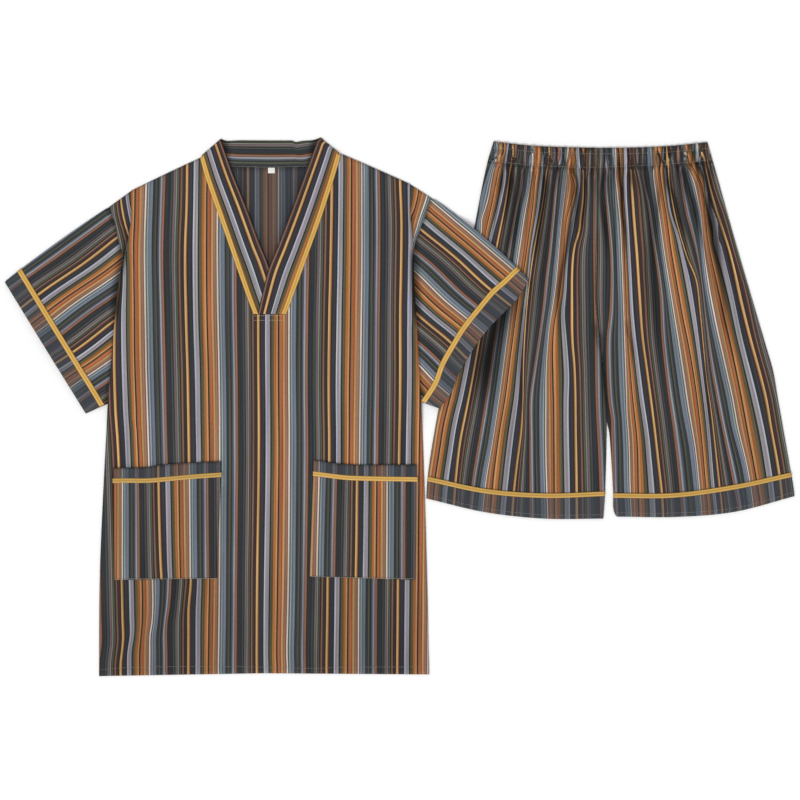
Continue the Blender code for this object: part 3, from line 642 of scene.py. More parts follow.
legThreads = {"left": {
    297: ((494.2, 150), (493.4, 158), (488.5, 170), (484, 183), (479, 201)),
    289.5: ((497.8, 150), (496.3, 159.3), (494, 168), (491.2, 183), (487.7, 201), (481.5, 219)),
    279: ((504.3, 148), (503.5, 153), (499.2, 167), (492.4, 201), (485, 234.5)),
    267.9: ((507.6, 150), (505.3, 166.5), (504.5, 179.8), (499.9, 203), (490, 240.3), (462, 393.8),
        (455.3, 421.3), (450.3, 452.5), (446.5, 477.5), (444, 505)),
    259.2: ((513, 153), (510.3, 166.5), (508.2, 183), (504.9, 204.6), (497, 245.3), (478.7, 343),
        (471.7, 382), (465.3, 415), (460.3, 440), (455.9, 477.5), (453.5, 508)),
    224: ((531, 150), (529.8, 163), (527.3, 188), (522.3, 208.8), (518.1, 233.7), (496.5, 397.5),
        (490.3, 440), (482.8, 480), (479, 510)),
    208.5: ((538, 150.7), (537.2, 166.5), (534.7, 183), (533, 204.6), (529.8, 229.5), (524.6, 265.5),
        (518.5, 297), (512.3, 342), (508.3, 372.7), (505.3, 396.3), (499, 433.8), (494, 471.3), (490, 512)),
    197.4: ((545, 150), (543, 166), (540, 190), (537, 215), (531, 250), (528, 285), (523.6, 324.7),
        (521, 352.2), (517, 396), (511.5, 433.8), (505.9, 483.8), (503, 513)),
    188.7: ((549, 155), (547.6, 161.5), (544, 190), (541, 210), (537.5, 228), (533.8, 248), (529.7, 275.7),
        (526, 310), (523.6, 350), (522.8, 408.8), (521.5, 431.3), (517.8, 458.8), (514, 490), (512, 514)),
    165.5: ((559.5, 150), (558.8, 166.5), (556.3, 183), (554.6, 200.5), (552.1, 229.5), (549.7, 254.4),
        (547, 275.7), (544, 306.3), (538.9, 342), (533.8, 372.7), (530.3, 396), (530.3, 440), (530.9, 490),
        (531, 516)),
    148.5: ((568, 150), (566.8, 171.5), (564, 200), (561, 225), (558.5, 254), (555, 291), (549, 331),
        (546.2, 372), (545.9, 402.5), (545.9, 452.5), (547.1, 492.5), (548, 517)),
    138: ((571.2, 150.7), (571.2, 174.8), (574.5, 183), (572, 200.5), (567.9, 213), (565.8, 225.4),
        (564.4, 248), (560.3, 291), (553.2, 331.8), (552.7, 382.9), (553.4, 402.5), (554, 490),
        (554.4, 517)),
    126.9: ((578.3, 150), (578.3, 163), (579, 183), (576.4, 200), (572.5, 220), (569, 240), (566.5, 262),
        (564.6, 293), (562.6, 311.4), (565.4, 342), (567.4, 377.8), (566.5, 402.5), (567.8, 490),
        (568, 517)),
    118.2: ((583.6, 150), (583.2, 183), (582.8, 200.5), (580.7, 217), (579.5, 229.5), (574.1, 246.1),
        (572, 260.4), (571.5, 311.4), (572, 342), (574.1, 367.6), (575.5, 440), (576.3, 490), (576.5, 517)),
    96: ((594.6, 150), (594, 176.4), (594, 250), (595.5, 331.8), (596.5, 402.5), (599, 452.5), (600.3, 490),
        (601, 517)),
}, "right": {
    321: ((599.8, 150), (599.7, 171.5), (598.6, 188), (599.1, 250), (598.6, 301), (601.1, 337)),
    307.5: ((605.3, 150), (605.3, 166.5), (604.6, 183), (608, 220), (611.3, 265.5), (610.3, 311.4),
        (607.2, 337), (607.2, 372.7), (608.8, 399.2), (612, 420)),
    294: ((612.4, 150), (612.9, 166.5), (613.8, 196.3), (616.2, 229.5), (617.6, 250.8), (619.8, 305),
        (620.8, 348.4), (622.5, 394), (625.5, 441), (626.8, 492), (628, 515)),
    289.5: ((614.6, 150), (615.2, 170), (617.9, 200.5), (620, 221.2), (621.4, 250.8), (624.1, 315.9),
        (625.7, 359.3), (627, 400)),
    279: ((619, 150), (619, 159), (620.4, 189.7), (622.8, 210), (624.2, 250), (626, 290), (627.4, 332),
        (632.5, 397), (637, 441), (638.3, 492), (639, 516)),
    267.9: ((624.6, 150), (624.9, 169.8), (624.9, 196.3), (626.6, 221.2), (629.5, 272.5), (631.7, 315.9),
        (636, 353.8), (641.8, 400), (647, 434.6), (649.7, 462), (652.3, 492), (653.6, 516)),
    259.2: ((629.3, 154), (630.3, 166.5), (631.6, 191.4), (633.7, 221.2), (636.6, 254.4), (639.3, 294.2),
        (642.5, 337.6), (646.9, 370), (650.6, 397), (654.5, 428.3), (658.8, 466.5), (661.7, 492),
        (663, 516)),
    250.5: ((634.8, 150), (636.4, 168), (641.1, 188), (644.4, 221.2), (646.9, 254.4)),
    236: ((642, 150), (642.2, 166), (642.8, 179.8), (648, 205), (653, 240), (657.5, 268), (661, 294.2),
        (663.1, 337.6), (668.5, 386.4), (675.3, 434.6), (680.4, 479.3), (683, 514)),
    224: ((649, 150), (650, 172), (655, 210), (660, 245), (664.2, 272.5), (670.7, 315.9), (678.3, 370),
        (684.2, 409.1), (691.8, 447.4), (696.3, 485.7), (699, 513)),
    208.5: ((658.6, 150), (660, 171.5), (664, 200), (666.8, 217), (671, 250), (677, 285), (682.5, 316),
        (689.5, 350), (696, 390), (702, 441), (705.9, 485.7), (708, 512)),
    197.4: ((664, 150), (665, 168), (667, 190), (670, 212), (677.6, 233.7), (682.6, 254.4), (691.3, 299.6),
        (696.7, 332.2), (702.2, 375.5), (708.4, 428.3), (712.9, 485.7), (716, 511)),
    188.7: ((667.4, 150), (667.7, 167.3), (668.9, 181.4), (671.8, 200.5), (675.9, 221.2), (681.7, 242),
        (687.6, 259.4), (695.7, 278), (700, 310.5), (703.2, 343), (707.6, 386.4), (711, 409.1),
        (714.6, 441), (719, 481.8), (722, 510)),
    166.5: ((677, 150), (679, 170), (685.9, 213), (691.7, 233.7), (697, 256), (701.4, 283), (705, 320),
        (710, 361), (717.3, 402.8), (725, 441), (733.3, 481.8), (738, 508)),
    153.5: ((683, 150), (684.8, 166), (689.2, 179.8), (694.2, 200.5), (697.5, 213), (699.4, 230),
        (703.8, 281.2), (710.8, 321.3), (720.6, 364.7), (728.2, 397.2), (733.9, 428.3), (744.1, 466.5),
        (750, 504)),
    138: ((686.7, 149), (690.9, 165.7), (700.8, 181.4), (704.1, 196.3), (705, 213), (706.6, 233.7),
        (709.9, 254.4), (715.2, 278), (723.8, 315.9), (732.5, 353.8), (740.1, 391.8), (748, 434.6),
        (755, 472.9), (760, 503)),
    130: ((692.8, 150), (696.5, 162), (702.9, 175), (703.8, 183), (705.5, 200), (708.8, 215), (712.4, 230)),
    126.9: ((717.2, 236), (722.8, 256.3), (731.4, 294.2), (740.1, 337.6), (754.2, 395), (763.3, 434.6),
        (769.6, 472.9), (773, 501)),
    124.3: ((698, 150), (700.7, 162), (703.5, 175), (704.4, 183), (706.7, 200), (711.7, 215), (717.6, 230)),
    118.2: ((699.2, 148.2), (705, 165.7), (708.6, 183), (714.1, 204.6), (720.7, 225.4), (729.3, 250.8),
        (740.1, 299.6), (749.9, 337.6), (765, 395), (770.9, 428.3), (778.6, 471.6), (782, 500)),
    112.9: ((704.2, 149), (711, 176.4), (716.8, 196.3), (723, 213), (735.3, 256.3), (745.3, 290),
        (755.6, 337.6), (770.6, 395), (776.5, 428.3), (784.2, 471.6), (787.6, 500)),
    107.6: ((707.8, 150), (714.8, 176.4), (720.7, 196.3), (727, 213), (739.2, 256.3), (749.2, 290),
        (760, 337.6), (775.6, 395), (781.6, 428.3), (789.6, 471.6), (793, 500)),
}}
threadReading = {
    "rowHigh": 4.0,      # pixels between the rows that the threads are worked out at
    "reach": 14.0,       # how far past its ends a thread is taken to run straight on
    "fade": 30.0,        # how soon it falls in with its neighbours after that
    "closest": 0.25,     # pixels between two threads where a fold swallows what is between
}


class StripeMap:
    # Reads the chart of the stripes at any pixel of a panel.
    def __init__(self, threads, way=1.0):
        self.threads = threads
        self.charts = list(threads)
        self.way = way
        self.top = min(pixels[0][1] for pixels in threads.values())
        self.foot = max(pixels[-1][1] for pixels in threads.values())
        high = threadReading["rowHigh"]
        count = int((self.foot - self.top) / high) + 2
        self.rows = [self.rowAt(self.top + number * high) for number in range(count)]
        self.rows = [self.settle(number) for number in range(count)]

    def reached(self, chart, row):
        # The row nearest to this one that the thread reaches.
        reach = threadReading["reach"]
        pixels = self.threads[chart]
        return within(row, pixels[0][1] - reach, pixels[-1][1] + reach)

    def places(self, row, without=None):
        # The threads that reach a row, as (place on the chart, column).
        return [(chart, columnAt(pixels, row)) for chart, pixels in self.threads.items()
                if chart != without and self.reached(chart, row) == row]

    def between(self, places, chart):
        places = sorted(places)
        charts = [place[0] for place in places]
        if chart <= charts[0]:
            return places[0][1] + (chart - charts[0]) * self.way
        if chart >= charts[-1]:
            return places[-1][1] + (chart - charts[-1]) * self.way
        right = bisect_right(charts, chart)
        share = (chart - charts[right - 1]) / (charts[right] - charts[right - 1])
        return mix(places[right - 1][1], places[right][1], share)

    def rowAt(self, row):
        row = min(row, self.foot)
        known = self.places(row)
        columns = []
        for chart, pixels in self.threads.items():
            nearest = self.reached(chart, row)
            column = columnAt(pixels, nearest)
            if nearest != row:
                lead = column - self.between(self.places(nearest, chart), chart)
                lasting = math.exp(-abs(row - nearest) / threadReading["fade"])
                column = self.between(known, chart) + lead * lasting
            columns.append(column)
        return columns

    def settle(self, number):
        # Each row takes a little of the rows beside it, and its threads keep their order.
        rows = self.rows
        above = rows[max(0, number - 1)]
        below = rows[min(len(rows) - 1, number + 1)]
        places = [0.2 * a + 0.6 * b + 0.2 * c for a, b, c in zip(above, rows[number], below)]
        for index in range(1, len(places)):
            places[index] = max(places[index], places[index - 1] + threadReading["closest"])
        return places

    def read(self, column, row):
        at = within((row - self.top) / threadReading["rowHigh"], 0.0, len(self.rows) - 1.001)
        first = int(at)
        share = at - first
        places = [mix(a, b, share) for a, b in zip(self.rows[first], self.rows[first + 1])]
        right = bisect_right(places, column)
        if right == 0:
            return self.charts[0] + (column - places[0]) * self.way
        if right == len(places):
            return self.charts[-1] + (column - places[-1]) * self.way
        part = (column - places[right - 1]) / (places[right] - places[right - 1])
        return mix(self.charts[right - 1], self.charts[right], part)


print("threads: where the stripes run on the top and the shorts")


# The top's panels. Sides, grain lines and rows are those of the part's own source.
Side = namedtuple("Side", "up left right")
topSides = table(
    Side, (0, -239.5, 239.5), (143, -238.4, 236.4), (306, -231.4, 231.6), (390, -226.6, 228.4),
    (442, -222.3, 225.2), (515, -216.3, 221.4), (573, -210.2, 217.6), (608, -204.6, 216.8),
    (614, -205.2, 216.6), (623, -208.6, 218.5), (637, -212.6, 222.6), (655, -217.6, 231.0),
    (678, -226.5, 238.2), (692, -226.5, 243.5),
)
Grain = namedtuple("Grain", "hem foot mouth chest top topUp")
frontGrains = table(
    Grain, (-239.5, -238.4, -231.4, -219.5, -226.5, 678.0),
    (-216.9, -217.8, -219.3, -206.9, -193.0, 702.6), (-216.0, -216.9, -218.4, -206.0, -192.1, 703.4),
    (-106.0, -104.0, -100.0, -97.0, -92.0, 751.0), (-71.0, -67.9, -61.6, -56.0, -61.6, 664.0),
    (-22.0, -20.0, -17.0, -14.0, -12.5, 523.7), (32.0, 31.0, 30.5, 30.0, 29.5, 523.7),
    (64.0, 66.7, 72.1, 75.0, 80.2, 663.0), (112.0, 112.0, 111.0, 110.0, 111.5, 756.8),
    (219.0, 219.4, 221.4, 212.0, 210.4, 713.0), (219.9, 220.3, 222.3, 212.9, 211.3, 712.4),
    (239.5, 236.4, 231.6, 223.0, 243.5, 692.0),
)
backGrains = table(
    Grain, frontGrains[0], frontGrains[2], (-106.0, -104.0, -100.0, -97.0, -92.5, 750.3),
    (-50.0, -50.0, -49.0, -48.0, -48.0, 738.7), (0.0, 2.0, 4.0, 6.0, 7.0, 737.2),
    (55.0, 56.0, 58.0, 60.0, 62.8, 738.7), (112.0, 112.0, 111.0, 110.0, 111.5, 755.4),
    (196.0, 196.0, 195.0, 194.0, 208.8, 714.0), frontGrains[11],
)
Row = namedtuple("Row", "up crown tilt")
bodyRows = table(
    Row, (0, 3.0, 0.005), (45, 3.0, 0.003), (92, 3.0, 0.0), (139.5, 3.5, 0.0), (185, 4.0, 0.002),
    (235, 5.0, 0.004), (281, 7.0, 0.0075), (288, 7.0, 0.0075), (303, 6.0, 0.0115), (346, 4.0, 0.006),
    (391, 2.0, 0.0), (436, 1.0, 0.0), (480, 0.0, 0.0),
)
topShape = {
    "frontRest": 1.5, "bodyRise": 3.6, "neckRise": 1.6, "bodyEase": 1.2,
    "riseBand": (345.0, 390.0, 622.0, 676.0),     # up the sides, where the sleeves lie below
    "riseFromEdge": (18.0, 75.0),
    "neckFoot": (9.0, 524.0), "riseFromNeck": (30.0, 130.0),
    "waistBand": (0, 160, 330, 520), "waistFromEdge": (0, 110),
    "swell": (0.45, 85.0, 3.1), "ripple": (0.12, 21.0, 7.7),
    "columnWide": 3.4, "rowHigh": 3.6, "upperRows": 78, "halfWide": 240.0,
    "grainUps": (0.0, 140.0, 305.0, 480.0),       # where a grain line's first four places are
    "neckEdges": (-64.0, 84.0),
    "foldedEdge": 1.3,            # how far the front rolls down at its borders
    "edgeRoll": 5.0,
    "armpit": (500.0, 532.0, 600.0, 628.0),
    "armpitShade": 0.88,
    "armpitReach": (1.5, 7.5),
    "lowShade": 0.12, "lowReach": 330,
    "mouthShade": 0.15, "mouthReach": 4.4,    # just above a pocket's mouth; the reach is in pixels
}
# The front is folded over at each shoulder: where that crease lies, as (up, across).
creaseRoutes = {
    "left": ((480, -206.0), (515, -206.6), (573, -204.4), (592, -202.6), (608, -201.4), (620, -198.4),
             (632, -195.8), (642, -194.7), (656, -192.4), (698, -192.1)),
    "right": ((480, 212.0), (515, 213.3), (573, 214.4), (614, 214.9), (624, 215.4), (637, 214.9),
              (652, 213.2), (660, 212.1), (672, 211.3), (704, 211.1)),
}
creaseShape = {
    "foot": {"left": 604.0, "right": 612.0},
    "strip": 0.9, "over": 0.5, "under": 0.7,
    "overBegins": (590, 625),
    "turnsLow": (625, 680),
    "darkHigh": {"left": (0.30, 2.0), "right": (0.40, 2.2)},   # shade and its reach, above
    "darkLow": {"left": (0.62, 7.0), "right": (0.42, 6.0)},    # and at the armpit
}


def sideAt(sides, up, column):
    return smooth([(side.up, getattr(side, column)) for side in sides], up)


def insideTop(across, up):
    # How far inside the nearer of the top's two sides a place lies.
    return min(across - sideAt(topSides, up, "left"), sideAt(topSides, up, "right") - across)


def frontFloor(across, up):
    beside = fade(insideTop(across, up), *topShape["riseFromEdge"])
    neckAcross, neckUp = topShape["neckFoot"]
    underNeck = fade(math.hypot(across - neckAcross, up - neckUp), *topShape["riseFromNeck"])
    waist = ease(insideTop(across, up), *topShape["waistFromEdge"]) * band(up, *topShape["waistBand"])
    return (topShape["frontRest"] + topShape["bodyRise"] * band(up, *topShape["riseBand"]) * beside
            + topShape["neckRise"] * underNeck + topShape["bodyEase"] * waist)


# Soft folds of the front, by the photo's pixels.
frontCreases = table(
    Crease,
    ((134.5, 196), (131, 240), 2.6, 0.9),        # body folded over at the left shoulder
    ((129.5, 205), (124.5, 250), 2.4, -1.3),
    ((406.5, 190), (410.5, 250), 2.6, 0.9),      # and at the right one
    ((413, 200), (413.5, 246), 2.4, -1.3),
    ((208, 592), (150, 652), 6.0, 1.1),          # below the left pocket
    ((196, 592), (136, 646), 4.5, -0.6),
    ((135, 300), (140, 430), 9.0, 0.5),
    ((404, 290), (398, 440), 9.0, 0.5),
    ((175, 250), (205, 400), 10.0, 0.5),
    ((350, 240), (330, 420), 10.0, 0.5),
    ((268, 330), (262, 470), 8.0, 0.6),
    ((240, 340), (200, 455), 7.0, -0.35),
    ((300, 345), (330, 450), 7.0, -0.35),
    ((300, 590), (345, 655), 7.0, 0.4),
    ((262, 500), (266, 660), 9.0, 0.5),
)


def frontTop(across, up):
    soft = swell(across, up, topShape["swell"]) + swell(across, up, topShape["ripple"])
    folds = creased(frontCreases, *toPixel(topPlace, across, up))
    return frontFloor(across, up) + cloth + soft + folds


def finer(rows, high):
    # Rows of a table with more between them, no further apart than high.
    lines = []
    for first, second in zip(rows, rows[1:]):
        count = max(1, round((second.up - first.up) / high))
        lines += [mixRows(first, second, part / count) for part in range(count)]
    return lines + [rows[-1]]


def grainLines(grains, wide):
    lines = []
    marks = []
    for first, second in zip(grains, grains[1:]):
        marks.append(len(lines))
        count = max(1, round(abs(second.mouth - first.mouth) / wide))
        lines += [mixRows(first, second, part / count) for part in range(count)]
    marks.append(len(lines))
    return lines + [grains[-1]], marks


def upperAcross(line, up):
    # Above the chest a line keeps to its share of the width, which shifts on the way up.
    chestUp = bodyRows[-1].up
    chestLeft = sideAt(topSides, chestUp, "left")
    chestWide = sideAt(topSides, chestUp, "right") - chestLeft
    shareLow = (line.chest - chestLeft) / chestWide
    edgeLeft = sideAt(topSides, line.topUp, "left")
    edgeRight = sideAt(topSides, line.topUp, "right")
    shareHigh = (line.top - edgeLeft) / (edgeRight - edgeLeft)
    part = (up - chestUp) / (line.topUp - chestUp)
    return mix(sideAt(topSides, up, "left"), sideAt(topSides, up, "right"),
               mix(shareLow, shareHigh, part))


def besideCrease(side, number, marks, across, up):
    # Lines outside a crease spread between it and the edge; those inside are drawn to it.
    edgeLine, outer, inner, end = marks[:4] if side == "left" else marks[:-5:-1]
    outward = -1.0 if side == "left" else 1.0
    crease = smooth(creaseRoutes[side], up)
    away = (number - outer) * outward
    if away >= 0:
        start = crease + outward * creaseShape["strip"]
        return mix(start, sideAt(topSides, up, side), away / abs(edgeLine - outer))
    inside = (inner - number) * outward
    if inside < abs(end - inner):
        creaseLine = frontGrains[2] if side == "left" else frontGrains[-3]
        shift = crease - upperAcross(creaseLine, up)
        return across + shift * (1.0 - inside / abs(end - inner))
    return across


def panelPlan(lines, rows, upperCount, marks=None):
    # Where the spots of a body panel lie: its lines from the hem to the chest, then to its top.
    chestUp = rows[-1].up
    plan = []
    for number, line in enumerate(lines):
        stops = list(zip(topShape["grainUps"], line))
        places = []
        for row in rows:
            across = smooth(stops, row.up)
            up = row.up + row.crown * (1.0 - abs(across) / topShape["halfWide"]) + row.tilt * across
            if number in (0, len(lines) - 1):
                across = sideAt(topSides, up, "left" if number == 0 else "right")
            places.append((across, up))
        side = "left" if number < len(lines) / 2 else "right"
        for step in range(1, upperCount + 1):
            up = mix(chestUp, line.topUp, step / upperCount)
            across = upperAcross(line, up)
            if marks:
                across = besideCrease(side, number, marks, across, up)
            places.append((across, up))
        plan.append(places)
    return plan


def creaseShade(side, across, up):
    # The cloth outside a crease lies in its shadow, more so towards the armpit.
    low = fade(up, *creaseShape["turnsLow"])
    darkHigh, reachHigh = creaseShape["darkHigh"][side]
    darkLow, reachLow = creaseShape["darkLow"][side]
    off = abs(across - smooth(creaseRoutes[side], up)) / mix(reachHigh, reachLow, low)
    return mix(darkHigh, darkLow, low) * math.exp(-off * off)


def armpitShade(inside, up):
    beside = fade(inside, *topShape["armpitReach"])
    return topShape["armpitShade"] * band(up, *topShape["armpit"]) * beside


def lowShade(up):
    # The top's lower half lies a little farther from the light.
    return topShape["lowShade"] * fade(up, 0, topShape["lowReach"])


# The rows the pockets' mouths lie on, by the photo's column.
pocketMouths = {
    "left": ((113, 466.5), (146, 466.9), (166, 465.0), (190, 464.2), (221, 463.8)),
    "right": ((313, 463.6), (320, 464.0), (338, 466.7), (417, 466.7)),
}


def mouthShade(column, row):
    dark = 0.0
    for stops in pocketMouths.values():
        if stops[0][0] - 2 < column < stops[-1][0] + 2:
            off = max(0.0, smooth(stops, column) - row) / topShape["mouthReach"]
            dark = topShape["mouthShade"] * math.exp(-off * off)
    return dark


def frontSpots(plan, marks, stripes, shoulders):
    neckLeft, neckRight = topShape["neckEdges"]
    spots = []
    for number, line in enumerate(plan):
        topAcross, topUp = line[-1]
        side = "left" if number <= marks[1] else "right" if number >= marks[-2] else None
        lineSpots = []
        for across, up in line:
            inside = insideTop(across, up)
            off = min(inside, up - line[0][1])
            if not neckLeft < topAcross < neckRight:
                off = min(off, topUp - up)
            height = frontTop(across, up)
            height -= topShape["foldedEdge"] * (1.0 - rounded(off, topShape["edgeRoll"]))
            reader = stripes
            crease = 0.0
            if side and up > creaseShape["foot"][side]:
                reader = shoulders[side]
                crease = creaseShade(side, across, up)
                height -= creaseShape["under"] * (number in (marks[1], marks[-2]))
            elif number in (marks[2], marks[-3]):
                height += creaseShape["over"] * ease(up, *creaseShape["overBegins"])
            place = toPixel(topPlace, across, up)
            shade = allShades(crease, armpitShade(inside, up), lowShade(up), mouthShade(*place))
            lineSpots.append(Spot(across, up, height, reader.read(*place) * pixel, up, 0.0, shade))
        spots.append(lineSpots)
    return spots


lines, marks = grainLines(frontGrains, topShape["columnWide"])
rows = finer(bodyRows, topShape["rowHigh"])
frontPlan = panelPlan(lines, rows, topShape["upperRows"], marks)
topStripes = StripeMap(topThreads)
shoulderStripes = {side: StripeMap(threads) for side, threads in shoulderThreads.items()}
front = layCloth("front", frontSpots(frontPlan, marks, topStripes, shoulderStripes), topPlace,
                 bothSides, "shirt_front")
print("front:", len(front.data.polygons), "faces")

backShape = {
    "columnWide": 4.0, "rowHigh": 12.0, "upperRows": 26,
    "sink": 0.1, "swell": (0.1, 40.0, 1.3), "wall": 1.0,
    "chartShift": 11.2,           # its stripes against the photo's columns, in pixels
}
# Inside the neck it is darker, most of all along the collar and down in the point of the V.
neckShade = {
    "all": 0.16, "edge": 0.46, "reach": 5.5,
    "left": ((141.0, 221.0), (243.0, 259.6), (268.0, 268.6)),
    "right": ((141.0, 317.0), (209.5, 291.9), (244.5, 278.6), (268.7, 269.2)),
}


def insideShade(column, row):
    light = 1.0 - neckShade["all"]
    for side, outward in (("left", 1.0), ("right", -1.0)):
        off = max(0.0, (column - smooth(neckShade[side], row)) * outward) / neckShade["reach"]
        light *= 1.0 - neckShade["edge"] * math.exp(-off)
    return 1.0 - light


backPlan = panelPlan(grainLines(backGrains, backShape["columnWide"])[0],
                     finer(bodyRows, backShape["rowHigh"]), backShape["upperRows"])
backSpots = []
for line in backPlan:
    lineSpots = []
    for across, up in line:
        column, row = toPixel(topPlace, across, up)
        height = cloth - backShape["sink"] + swell(across, up, backShape["swell"])
        chart = (column + backShape["chartShift"]) * pixel
        lineSpots.append(Spot(across, up, height, chart, up, 1.0, insideShade(column, row)))
    backSpots.append(lineSpots)
back = layCloth("back", backSpots, topPlace, bothSides, "shirt_back", wall=backShape["wall"])
print("back:", len(back.data.polygons), "faces")


# The pockets lie on the front, their mouths turned out as hems under a tape.
pockets = {
    "foot": 139.5, "tapeFoot": 281.0, "tapeMiddle": 284.5, "tapeHead": 288.0, "mouth": 303.0,
    "hemExtra": 0.8, "edgeRoll": 2.5, "edgeFall": 0.6,
    "shade": 0.09, "footShade": 0.12, "footReach": 1.6,
    "footSags": (140, 190),       # the sag of the foot ends here on the way up
    "tapeSags": (190, 281),       # and that of the tape begins
    "tapeRise": 0.15, "tapeTilt": 0.25, "tapeBeyond": (0.4, 1.2),
    "tapeShade": {"left": 0.24, "right": 0.06},
    "flatWide": {"left": 0.158, "right": 0.153},    # in metres
}
pocketMarks = {"left": (2, 4), "right": (7, 9)}     # the front's grain lines at its two sides
# How far below its row the tape and the foot lie, in pixels, by the photo's column.
pocketSag = {
    "left": (((113, 0.7), (124, 0.9), (148, 1.8), (172, 1.0), (196, -0.2), (221, -0.9)),
             ((113, 0.9), (221, 0.5))),
    "right": (((313, -1.6), (322, -0.7), (334, 0.4), (346, 1.5), (358, 1.8), (417, 1.8)),
              ((311, -1.3), (416, 0.9))),
}


def pocketDrop(side, across, up):
    column = toPixel(topPlace, across, up)[0]
    tape, foot = (smooth(stops, column) * pixel for stops in pocketSag[side])
    mouth = smooth(pocketMouths[side], column) - toPixel(topPlace, 0.0, pockets["mouth"])[1]
    middle = pockets["tapeMiddle"]
    upper = within((up - middle) / (pockets["mouth"] - middle))
    return (ease(up, *pockets["tapeSags"]) * mix(tape, mouth * pixel, upper)
            + foot * fade(up, *pockets["footSags"]))


def rowNumber(rows, up):
    return min(range(len(rows)), key=lambda number: abs(rows[number].up - up))


def pocketTop(across, up, hem):
    return frontTop(across, up) + gap + cloth + pockets["hemExtra"] * hem


footRow, tapeRow, headRow, mouthRow = (rowNumber(rows, pockets[key])
                                       for key in ("foot", "tapeFoot", "tapeHead", "mouth"))
tapeRow -= footRow
headRow -= footRow
for side in ("left", "right"):
    stripes = StripeMap(pocketThreads[side])
    firstLine, lastLine = (marks[number] for number in pocketMarks[side])
    pocketLines = [line[footRow:mouthRow + 1] for line in frontPlan[firstLine:lastLine + 1]]
    spots = []
    for line in pocketLines:
        lineSpots = []
        for number, (across, up) in enumerate(line):
            off = min(across - pocketLines[0][number][0], pocketLines[-1][number][0] - across,
                      up - line[0][1], line[-1][1] - up)
            roll = fade(off, 0.0, pockets["edgeRoll"])
            hem = ease(number, tapeRow, headRow)
            height = pocketTop(across, up, hem) - pockets["edgeFall"] * roll
            turned = 1.0 if number > (tapeRow + headRow) / 2.0 else 0.0
            chart = stripes.read(*toPixel(topPlace, across, up)) * pixel
            atFoot = fade(up - line[0][1], 0.0, pockets["footReach"])
            shade = allShades(pockets["footShade"] * atFoot, pockets["shade"])
            low = up - pocketDrop(side, across, up)
            lineSpots.append(Spot(across, low, height, chart, up, turned, shade))
        spots.append(lineSpots)
    pocket = layCloth("pocket." + side, spots, topPlace, bothSides, "pocket_" + side)
    route = []
    for line in pocketLines:
        low = Vector(line[tapeRow])
        high = Vector(line[headRow])
        middle = (low + high) / 2.0
        height = pocketTop(middle.x, middle.y, 0.5) + pockets["tapeRise"]
        middle.y -= pocketDrop(side, middle.x, middle.y)
        route.append((Vector((middle.x, middle.y, height)), (high - low).normalized().to_3d(),
                      pockets["tapeTilt"]))
    leftBeyond, rightBeyond = pockets["tapeBeyond"]
    route.insert(0, (route[0][0] - Vector((leftBeyond, 0, 0)), *route[0][1:]))
    route.append((route[-1][0] + Vector((rightBeyond, 0, 0)), *route[-1][1:]))
    tape = layTape("pocketTape." + side, route[::-1], topPlace, "pocket_tape_" + side,
                   shade=pockets["tapeShade"][side])
    print("pocket", side)


# The sleeves: flattened tubes, folded along the top and closed under the arm.
SleeveLine = namedtuple("SleeveLine", "arm armUp cuff cuffUp")
sleeveLines = {"left": table(
    SleeveLine, (-227.4, 677.6, -376.1, 570.7), (-214.6, 651.0, -361.4, 546.8),
    (-206.2, 625.0, -346.7, 523.0), (-193.6, 596.7, -332.0, 499.1), (-195.0, 561.9, -317.3, 475.3),
    (-197.9, 525.6, -302.6, 451.4), (-202.3, 489.4, -287.9, 427.5), (-205.9, 443.0, -273.2, 403.7),
    (-210.3, 401.0, -258.5, 379.8),
), "right": table(
    SleeveLine, (244.1, 691.2, 383.2, 572.6), (235.4, 663.3, 368.6, 547.8), (224.8, 640.0, 348.9, 527.3),
    (211.0, 604.0, 329.0, 507.0), (205.5, 568.0, 311.1, 485.0), (206.0, 530.0, 295.9, 460.9),
    (208.0, 488.0, 281.5, 436.4), (210.5, 445.0, 271.1, 410.0), (213.2, 402.0, 254.8, 386.7),
)}
sleeves = {
    "bow": {"left": 2.5, "right": 6.2},
    "rest": 0.15, "rise": 1.7, "riseBeside": (8, 30), "riseBelow": (645, 672),
    "shortsBed": 4.4, "bedFrom": (-32, -6),       # the right one lies on the shorts
    "puff": 2.2, "puffFrom": (10, 60),
    "swell": (0.35, 46.0, 5.5), "swellFrom": (0, 30),
    "hem": {"left": ((0.0, 27.3), (1.0, 26.6)),
            "right": ((0.0, 22.5), (0.1, 29.0), (0.2, 32.2), (0.37, 29.2), (0.6, 28.2), (1.0, 25.6))},
    "hemExtra": 0.5,
    "acrossCount": 60, "alongCount": 66, "cuffWide": 224.0,
    "tuck": 2.5, "tuckFall": 1.1, "tuckEnds": 3.5,     # under the front's edge
    "foldRound": 2.4, "foldHigh": 0.42,
    "seamShade": (0.40, 0.78),    # beside the body, and at the armpit
    "seamReach": (5.0, 14.0), "seamFrom": 0.5,
    "armpit": (492, 545, 600, 640), "underarm": (398, 436), "underarmShare": 0.7,
    "tapeSteps": 64, "tapeEnd": 0.997, "tapeRise": 0.55, "tapeTilt": -0.1,
    "tapeFall": 1.6, "tapeRound": 2.5,
}
